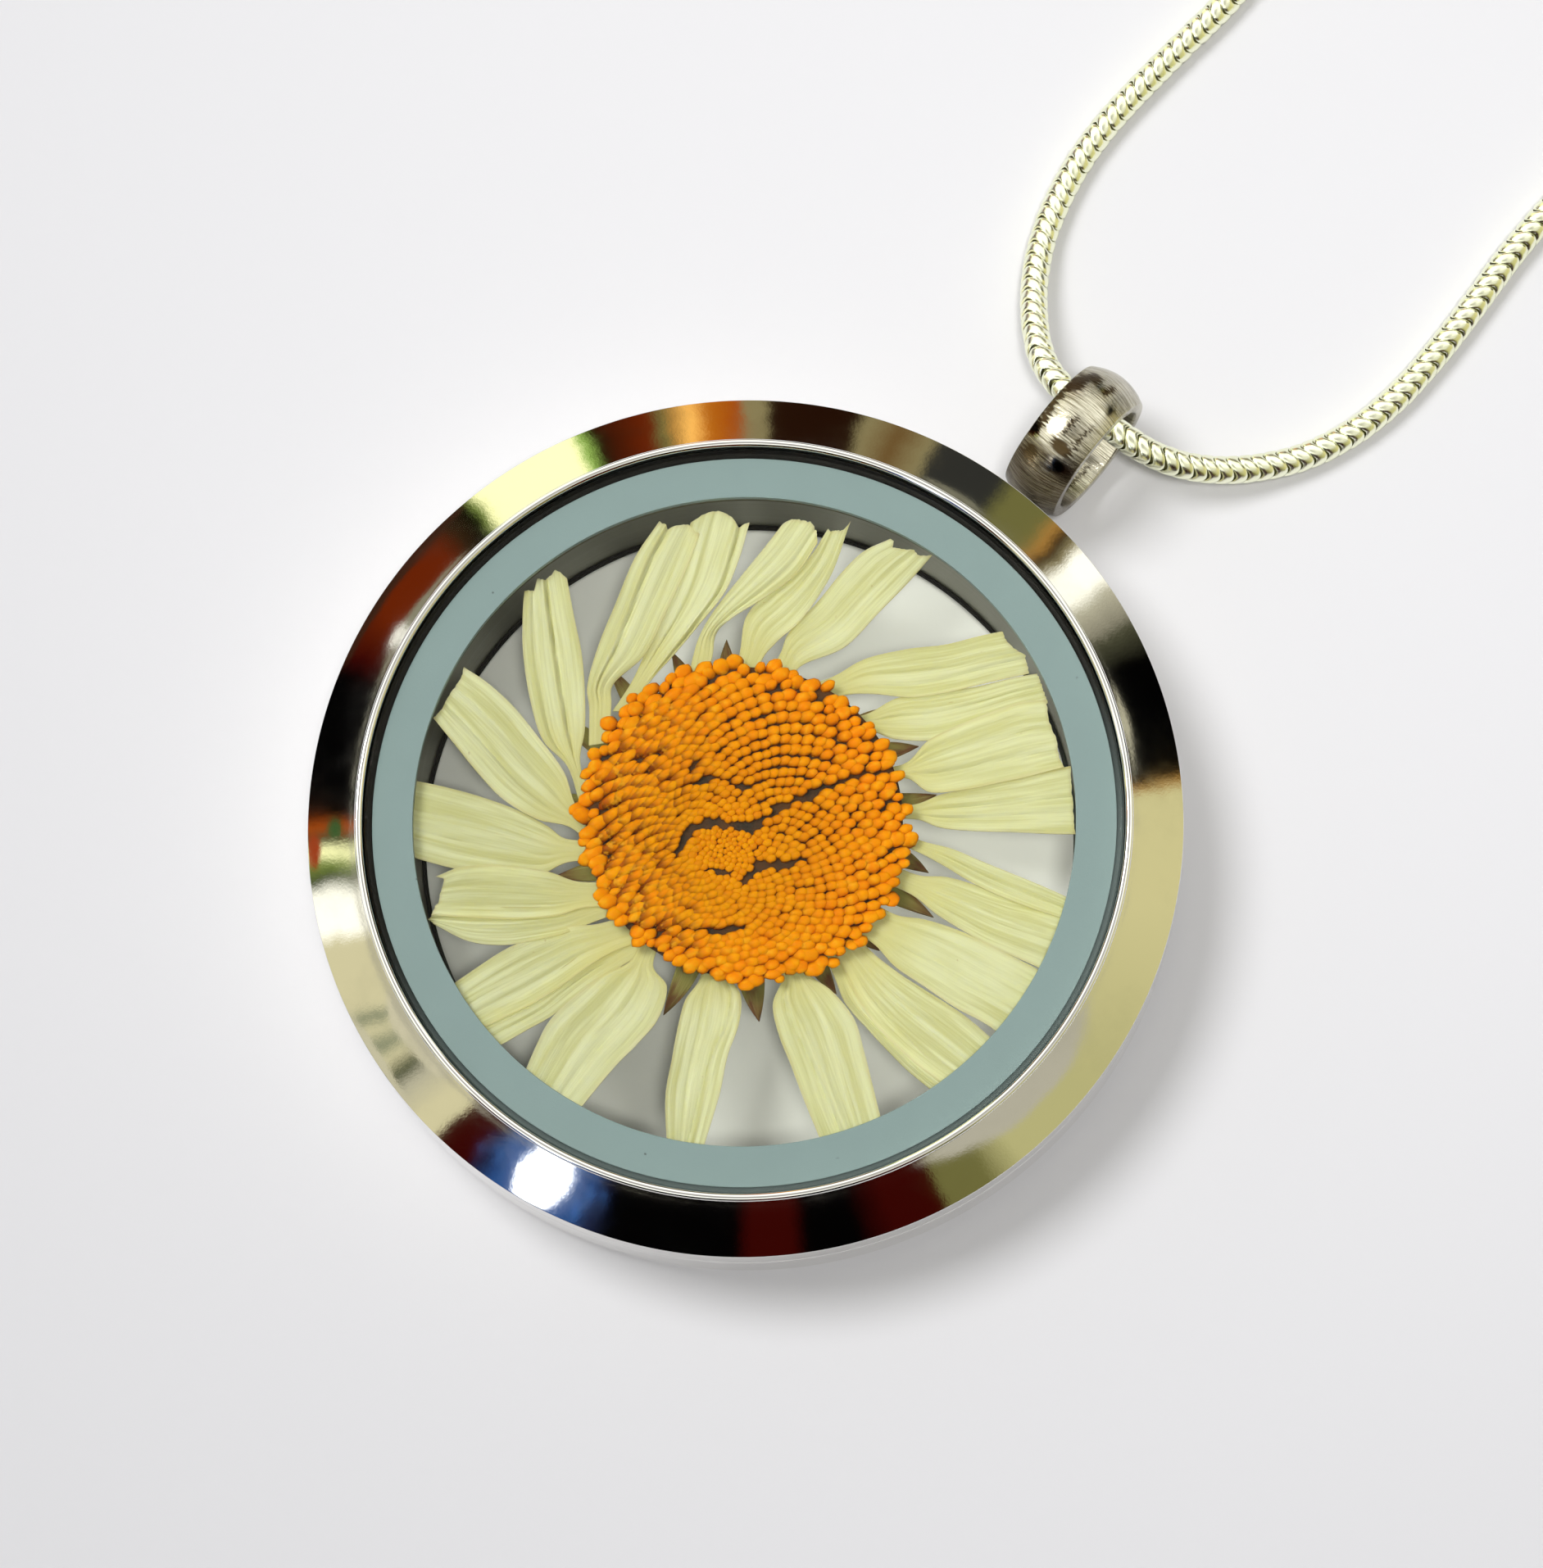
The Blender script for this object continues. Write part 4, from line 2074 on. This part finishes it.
    def core_mesh(self) -> bpy.types.Mesh:
        """Dark round core that shows between the links.

        Returns:
            The mesh.
        """
        spots, ahead, _ = self.stations(2 * self.pitch)
        side, up = self.frames(ahead)
        turns = np.arange(self.core_sides) * TAU / self.core_sides
        rings = (
            spots[:, None]
            + self.core_radius * np.cos(turns)[None, :, None] * side[:, None]
            + self.core_radius * np.sin(turns)[None, :, None] * up[:, None]
        )
        return tube_mesh(f"{self.name}_core", rings, closed_ends=True)

    def build(self) -> None:
        """Add the strand's pieces."""
        add_piece(self.links_mesh(), f"{self.name}_links", SILVER, Body.BACK, [self.node])
        add_piece(self.core_mesh(), f"{self.name}_core", CORE, Body.BACK, [self.node])


@dataclass
class SnakeChain:
    """The chain with its end caps and clasp."""

    clasp_y: float = 210.0 * MM
    clasp_z: float = 1.5 * MM
    clasp_half: float = 4.0 * MM
    clasp_radius: float = 1.5 * MM
    clasp_end_radius: float = 1.2 * MM
    cap_start: float = 3.1 * MM
    cap_length: float = 3.2 * MM
    cap_radius: float = 0.85 * MM
    cap_bore: float = 0.55 * MM
    cap_gap: float = 0.05 * MM
    cap_groove: float = 0.12 * MM
    groove_places: tuple[float, float] = (0.45, 0.62)

    strands: tuple[Strand, ...] = (
        Strand("right_strand", "chain_right", (
            (0, 19.3, 2.45), (1.5, 19.3, 2.45), (2.9, 19.65, 2.15), (4.1, 20.45, 1.5), (5.3, 21.7, 0.9),
            (6.6, 23.6, 0.5), (7.5, 26.4, 0.5), (7.6, 30, 0.5), (7.2, 35.6, 0.5), (8.4, 45, 0.5),
            (14.8, 61, 0.5), (27.5, 80, 0.5), (41, 104.5, 0.5), (49.5, 133, 0.5), (48.5, 163, 0.5),
            (36, 189.5, 0.5), (21.5, 204, 0.9), (11, 210, 1.5), (4.1, 210, 1.5),
        ), 30.0, 1.1),
        Strand("left_strand", "chain_left", (
            (0, 19.3, 2.45), (-1.5, 19.3, 2.45), (-2.9, 19.75, 2.15), (-4.2, 20.95, 1.5), (-5.4, 22.5, 0.9),
            (-6.4, 24.6, 0.5), (-7, 27.6, 0.5), (-6.85, 31.2, 0.5), (-6.3, 36.4, 0.5), (-7.4, 46, 0.5),
            (-13.8, 61.5, 0.5), (-26.5, 81, 0.5), (-39.5, 105.5, 0.5), (-47.5, 134, 0.5), (-47, 164, 0.5),
            (-35, 190, 0.5), (-21, 204.3, 0.9), (-11, 210, 1.5), (-4.1, 210, 1.5),
        ), 118.0, 1.3),
    )

    def cap(self, name: str, way: int) -> Turned:
        """End cap with two turned grooves, on the side that way is the sign of.

        Args:
            name: Name of the piece.
            way: 1 for the right strand, -1 for the left one.

        Returns:
            The turned piece.
        """
        near, far = self.cap_start, self.cap_start + self.cap_length
        groove = self.cap_groove
        spots = [(near, self.cap_bore), (near, self.cap_radius)]
        for place in self.groove_places:
            middle = near + place * self.cap_length
            spots += [(middle - groove, self.cap_radius), (middle, self.cap_radius - groove)]
            spots += [(middle + groove, self.cap_radius)]
        spots += [(far, self.cap_radius - 0.1 * MM), (far, self.cap_bore)]
        if way < 0:
            spots = [(-up, out) for up, out in reversed(spots)]
        corners = tuple(Corner(out, up, 0.05 * MM) for up, out in reversed(spots))
        return Turned(name, self.counter_clockwise(corners), 64, (0, self.clasp_y, self.clasp_z), Axis.X)

    @staticmethod
    def counter_clockwise(corners: tuple[Corner, ...]) -> tuple[Corner, ...]:
        """The corners, turned round where they run clockwise.

        Args:
            corners: The corners in order.

        Returns:
            The corners in their new order.
        """
        beside = corners[1:] + corners[:1]
        area = sum(one.out * two.up - two.out * one.up for one, two in zip(corners, beside))
        return corners if area > 0 else corners[::-1]

    def clasp(self) -> Turned:
        """Barrel clasp with a waist line.

        Returns:
            The turned piece.
        """
        half, wide, end = self.clasp_half, self.clasp_radius, self.clasp_end_radius
        taper, groove = 1.0 * MM, 0.1 * MM
        hole, floor = self.cap_radius + self.cap_gap, self.cap_start - self.cap_gap
        spots = [
            (half, hole), (half, end), (half - taper, wide), (groove, wide), (0, wide - groove),
            (-groove, wide), (taper - half, wide), (-half, end), (-half, hole), (-floor, hole),
            (-floor, 0.0), (floor, 0.0), (floor, hole),
        ]
        corners = tuple(Corner(out, up, 0.08 * MM if out else 0.0) for up, out in spots)
        return Turned("barrel_clasp", self.counter_clockwise(corners), 96,
                      (0, self.clasp_y, self.clasp_z), Axis.X)

    def build(self) -> None:
        """Add the chain's pieces."""
        for strand in self.strands:
            strand.build()
        for side, way in (("right", 1), ("left", -1)):
            self.cap(f"end_cap_{side}", way).build(STEEL, Body.BACK, Slot.CHAIN, f"chain_cap_{side}")
        self.clasp().build(STEEL, Body.BACK, Slot.CHAIN, "clasp")


class LampKind(Enum):
    """Kinds of lamp."""

    AREA = "AREA"
    SPOT = "SPOT"
    POINT = "POINT"


class Unlit(Enum):
    """Kinds of surface that a lamp leaves alone."""

    MIRRORS = "visible_glossy"
    MATTE = "visible_diffuse"


class Tone(Enum):
    """Colours of the room round the locket."""

    WINDOW = (1.50, 1.48, 1.28)
    LIME = (1.50, 1.50, 0.78)
    CREAM = (0.80, 0.74, 0.45)
    STRAW = (0.76, 0.70, 0.35)
    WHEAT = (0.58, 0.55, 0.25)
    LINEN = (0.58, 0.55, 0.40)
    STONE = (0.31, 0.29, 0.21)
    KHAKI = (0.31, 0.26, 0.12)
    OLIVE = (0.19, 0.18, 0.055)
    DUSK = (0.08, 0.08, 0.045)
    SAGE = (0.26, 0.29, 0.18)
    MOSS = (0.20, 0.28, 0.05)
    LEAF = (0.36, 0.60, 0.11)
    FERN = (0.05, 0.065, 0.025)
    SLATE = (0.035, 0.035, 0.03)
    SOOT = (0.0006, 0.0005, 0.0005)
    COCOA = (0.02, 0.006, 0.002)
    UMBER = (0.035, 0.018, 0.006)
    BROWN = (0.18, 0.10, 0.03)
    MAROON = (0.045, 0.002, 0.001)
    BRICK = (0.17, 0.02, 0.002)
    RUST = (0.45, 0.08, 0.005)
    ORANGE = (0.60, 0.17, 0.008)
    FLAME = (1.30, 0.68, 0.15)
    AMBER = (0.48, 0.25, 0.055)
    NAVY = (0.015, 0.02, 0.06)
    BLUE = (0.03, 0.10, 0.32)


def toward(azimuth: float, elevation: float) -> Triple:
    """Direction to a place of the room, given in degrees in the photograph's frame."""
    turn, rise = math.radians(azimuth) + VIEW_TURN, math.radians(elevation)
    return (math.cos(turn) * math.cos(rise), math.sin(turn) * math.cos(rise), math.sin(rise))


@dataclass(frozen=True)
class Lamp:
    """A lamp, and where it stands and points, in metres."""

    name: str
    kind: LampKind
    power: float
    stands: Vector
    settings: dict[str, float | str]
    unlit: Unlit
    aims_at: Vector | None = None
    colour: Triple = (1.0, 1.0, 1.0)

    def build(self) -> None:
        """Add the lamp."""
        light = bpy.data.lights.new(self.name, self.kind.value)
        light.energy = self.power
        light.color = self.colour
        for name, value in self.settings.items():
            setattr(light, name, value)
        holder = placed(self.name, light)
        holder.location = self.stands
        if self.aims_at is not None:
            holder.rotation_mode = "QUATERNION"
            holder.rotation_quaternion = (self.aims_at - self.stands).to_track_quat("-Z", "Y")
        setattr(holder, self.unlit.value, False)


LAMP_REACH = 0.6
LAMPS = (
    # Soft light from the window's side, which the steel doesn't mirror
    Lamp(
        "key_light", LampKind.AREA, 1.9, Vector(toward(148, 64)) * LAMP_REACH,
        {"shape": "DISK", "size": 0.25}, Unlit.MIRRORS, Vector(), (0.98, 0.985, 1.0),
    ),
    # Pool of light from above, brightest beyond the chain
    Lamp(
        "pool_light", LampKind.SPOT, 6.3, Vector(toward(-62, 0)) * 0.14 + Vector((0, 0, LAMP_REACH)),
        {"spot_size": 2 * math.atan(0.100 / LAMP_REACH), "spot_blend": 1.0, "shadow_soft_size": 0.05},
        Unlit.MIRRORS, Vector(toward(50, 0)) * 0.044, (1.0, 0.995, 0.99),
    ),
    # Small lamp in the key light's direction that only the metal answers to
    Lamp(
        "glint_light", LampKind.POINT, 7.0, Vector(toward(156, 51)) * LAMP_REACH,
        {"shadow_soft_size": 0.04}, Unlit.MATTE,
    ),
)


class Patch(NamedTuple):
    """Oval patch of the room, placed by where the bevel reflects it.

    Its azimuth and half turn are in degrees, its rise and half rise in half heights of the bevel.
    """

    azimuth: float
    half_turn: float
    rise: float
    half_rise: float
    tint: Triple

    def over(self, under: Signal, azimuth: Signal, rise: Signal) -> Signal:
        """Colour with the patch laid over it.

        Args:
            under: The colour.
            azimuth: Share of the full turn, from 0 to 1.
            rise: Height in the steel's reflection, from -1 to 1.

        Returns:
            The colour.
        """
        across = (azimuth * 360 - self.azimuth) / self.half_turn
        above = (rise - self.rise) / self.half_rise
        inside = (across * across + above * above).step(1.25, 0.75)
        return under.graph.mix(inside, under, self.tint)


@dataclass
class Studio:
    """Table, surroundings, lamps and camera."""

    table_half: float = 1.2
    table_drop: float = 0.02 * MM
    view: PhotoView = PhotoView()
    sensor: float = 36.0

    # Even light on matte things, stronger from the window's side
    matte_tint: Triple = (0.98, 0.985, 1.0)
    matte_level: float = 0.22
    matte_swing: float = 0.16
    window_turn: float = 145.0
    window_rise: float = 35.0

    # Height in the room that the bevel's middle mirrors, in degrees, and half of what it mirrors
    level: float = 25.2
    level_swing: float = 12.2
    tilt_turn: float = 285
    half_height: float = 6.2

    # Room above and below what the bevel mirrors
    brow: Triple = (0.42, 0.40, 0.31)
    sky: Triple = (1.45, 1.45, 1.36)
    dull_sky: Triple = (0.62, 0.60, 0.52)
    dull_turn: float = 325
    ceiling: tuple[Triple, Triple] = ((0.42, 0.41, 0.38), (0.62, 0.61, 0.60))
    below: Triple = (0.72, 0.70, 0.68)
    lamp_glow: Patch = Patch(231.5, 11.0, 0.0, 1.5, (0.05, 0.15, 0.44))
    sector: int = 60

    # Surroundings of the mirror steel: azimuth in the photograph's frame, and tone
    band: tuple[tuple[float, Tone], ...] = (
        (0, Tone.STRAW), (16.5, Tone.STRAW), (17.6, Tone.AMBER), (19, Tone.SOOT), (35, Tone.SOOT),
        (39, Tone.DUSK), (40.5, Tone.STONE), (44, Tone.LINEN), (46, Tone.WINDOW), (50, Tone.WINDOW),
        (51.3, Tone.KHAKI), (52.8, Tone.UMBER), (54.3, Tone.AMBER), (56, Tone.OLIVE), (61, Tone.OLIVE),
        (63, Tone.SLATE), (70.5, Tone.SLATE), (72, Tone.KHAKI), (75.5, Tone.BROWN), (79, Tone.KHAKI),
        (80.5, Tone.COCOA), (89.5, Tone.COCOA), (90.5, Tone.KHAKI), (92.6, Tone.KHAKI), (93.4, Tone.RUST),
        (96.6, Tone.ORANGE), (98.5, Tone.FLAME), (100.4, Tone.AMBER), (101.4, Tone.OLIVE),
        (103, Tone.BRICK), (109, Tone.COCOA), (110.6, Tone.LEAF), (111.8, Tone.LIME), (123, Tone.LIME),
        (124.2, Tone.MOSS), (125.4, Tone.SOOT), (128, Tone.UMBER), (131, Tone.BRICK), (140, Tone.BRICK),
        (146, Tone.MAROON), (148.5, Tone.SOOT), (166, Tone.SOOT), (167.6, Tone.RUST), (169.5, Tone.FERN),
        (171.5, Tone.LIME), (173.2, Tone.MOSS), (175, Tone.FERN), (177, Tone.WINDOW), (182, Tone.WINDOW),
        (184, Tone.CREAM), (193.5, Tone.CREAM), (195, Tone.SAGE), (197, Tone.CREAM), (199.5, Tone.SAGE),
        (201.5, Tone.CREAM), (204, Tone.FERN), (206, Tone.LINEN), (211, Tone.CREAM), (214.3, Tone.CREAM),
        (215.2, Tone.MAROON), (220.5, Tone.MAROON), (222.5, Tone.NAVY), (226, Tone.BLUE), (237, Tone.BLUE),
        (241, Tone.NAVY), (244, Tone.SOOT), (265.5, Tone.SOOT), (268, Tone.MAROON), (275, Tone.MAROON),
        (277.5, Tone.SOOT), (286, Tone.SOOT), (292, Tone.MAROON), (300.6, Tone.MAROON),
        (301.8, Tone.OLIVE), (309, Tone.OLIVE), (315, Tone.WHEAT), (330, Tone.WHEAT), (360, Tone.STRAW),
    )

    patches: tuple[Patch, ...] = (
        Patch(200.5, 8.0, 1.0, 0.55, (0.76, 0.71, 0.50)),
        Patch(200.5, 8.0, -1.1, 0.40, (0.70, 0.66, 0.46)),
        Patch(27.0, 9.0, 1.2, 0.50, (0.60, 0.57, 0.40)),
        Patch(137.0, 11.0, 1.1, 0.55, (0.30, 0.29, 0.20)),
        Patch(141.5, 1.8, 0.66, 0.22, (1.20, 1.18, 1.05)),
        Patch(137.0, 12.0, -1.2, 0.40, (0.05, 0.02, 0.01)),
        Patch(66.5, 5.5, 0.9, 0.45, (0.24, 0.23, 0.16)),
        Patch(321.0, 22.0, 1.15, 1.35, (0.56, 0.53, 0.42)),
        Patch(171.0, 2.4, -0.7, 0.35, (0.40, 0.05, 0.01)),
        Patch(168.0, 1.2, 0.2, 0.30, (0.04, 0.12, 0.03)),
        Patch(231.8, 4.0, 0.0, 1.25, (4.2, 4.4, 4.8)),
    )

    def sector_ramp(self, graph: Graph, azimuth: Signal, low: float) -> Signal:
        """Colours of one sector of the surroundings.

        Args:
            graph: The world's graph.
            azimuth: Share of the full turn, from 0 to 1.
            low: Where the sector starts, in degrees.

        Returns:
            The colour.
        """
        places = [place for place, _ in self.band]
        inside = [place for place in places if low < place < low + self.sector]
        tones = np.array([tone.value for _, tone in self.band])
        stops = []
        for place in (low, *inside, low + self.sector):
            colour = tuple(float(np.interp(place, places, part)) for part in tones.T)
            stops.append(((place - low) / self.sector, colour))
        return graph.ramp((azimuth * 360 - low) / self.sector, stops)

    def near_room(self, graph: Graph, azimuth: Signal, rise: Signal) -> Signal:
        """Colours that the bevel mirrors.

        Args:
            graph: The world's graph.
            azimuth: Share of the full turn, from 0 to 1.
            rise: Height in the steel's reflection, from -1 to 1.

        Returns:
            The colour.
        """
        near = self.sector_ramp(graph, azimuth, 0)
        for low in range(self.sector, 360, self.sector):
            past = azimuth.apply("GREATER_THAN", low / 360)
            near = graph.mix(past, near, self.sector_ramp(graph, azimuth, low))
        flares = graph.streaks(azimuth * 160, rise * 0.8, 2.0, 3.0).step(0.45, 0.62)
        near = graph.mix(flares, near, self.lamp_glow.over(near, azimuth, rise))
        for patch in self.patches:
            near = patch.over(near, azimuth, rise)
        return graph.mix(rise.step(0.80, 0.98) * 0.6, near, self.brow)

    def surroundings(self) -> None:
        """World that stands for the room: colours round the horizon, pale above, and a lamp."""
        world = bpy.data.worlds.new("room")
        bpy.context.scene.world = world
        world.use_nodes = True
        graph = Graph(world.node_tree)
        way = graph.node("ShaderNodeTexCoord", output="Generated")
        x, y, z = graph.split(way)
        wobble = (graph.noise(way, 4.0) - 0.5) * 0.006 + (graph.noise(way, 26.0) - 0.5) * 0.003
        azimuth = ((y.apply("ARCTAN2", x) - VIEW_TURN) / TAU + wobble).apply("FRACT")
        steep = z.apply("ARCSINE") / math.radians(1)
        tilt = (azimuth * TAU - math.radians(self.tilt_turn)).apply("COSINE")
        level = tilt * self.level_swing + self.level
        rise = (steep - level) / self.half_height + (graph.noise(way, 9.0, 3.0) - 0.5) * 0.5
        near = self.near_room(graph, azimuth, rise)
        above = graph.mix(graph.noise(way, 1.5), *self.ceiling)
        high = graph.mix((steep / 90).step(0.72, 0.84), self.sky, above)
        duller = (azimuth * TAU - math.radians(self.dull_turn)).apply("COSINE").step(0.60, 0.92)
        lit = graph.layers(
            near,
            (rise.step(1.30, 1.65), graph.mix(duller * 0.75, high, self.dull_sky)),
            (steep.step(1.0, -2.0), self.below),
        )
        room = graph.node("ShaderNodeBackground", {}, {"Color": lit, "Strength": 1.0})
        facing = graph.vector("DOT_PRODUCT", way, toward(self.window_turn, self.window_rise), "Value")
        strength = facing * self.matte_swing + self.matte_level
        plain = graph.node("ShaderNodeBackground", {}, {"Color": rgba(self.matte_tint), "Strength": strength})
        mirrored = graph.node("ShaderNodeLightPath", output="Is Glossy Ray")
        both = graph.node("ShaderNodeMixShader", {}, {0: mirrored, 1: plain, 2: room})
        graph.finish(both, "ShaderNodeOutputWorld")

    def table(self) -> None:
        """Table under the locket."""
        half, low = self.table_half, -self.table_drop
        points = np.array([(-half, -half, low), (half, -half, low), (half, half, low), (-half, half, low)])
        mesh = mesh_from("table_top", points, np.array([[0, 1, 2, 3]]))
        mesh.materials.append(TABLE.material())
        placed("table_top", mesh)

    def camera(self) -> None:
        """Camera at the photograph's place."""
        data = bpy.data.cameras.new("photo_camera")
        data.sensor_fit = "AUTO"
        data.sensor_width = self.sensor
        data.lens = self.view.focal / max(self.view.width, self.view.height) * self.sensor
        data.clip_start = 0.01
        data.clip_end = 10.0
        holder = placed("photo_camera", data)
        turned = Matrix(self.view.axes()).transposed().to_4x4()
        turned.translation = Vector(self.view.stands)
        holder.matrix_world = turned
        bpy.context.scene.camera = holder

    def build(self) -> None:
        """Add the studio."""
        bpy.context.scene.view_settings.view_transform = "Standard"
        self.surroundings()
        for lamp in LAMPS:
            lamp.build()
        self.table()
        self.camera()


def main() -> None:
    """Build every piece in order."""
    logging.basicConfig(level=logging.INFO, format="%(name)s: %(message)s")
    sizes = Sizes.from_frame()
    for part in (LocketShell(sizes), Daisy(sizes), SnakeChain(), Studio()):
        part.build()
        log.info("%s built", type(part).__name__)


if __name__ == "__main__":
    main()
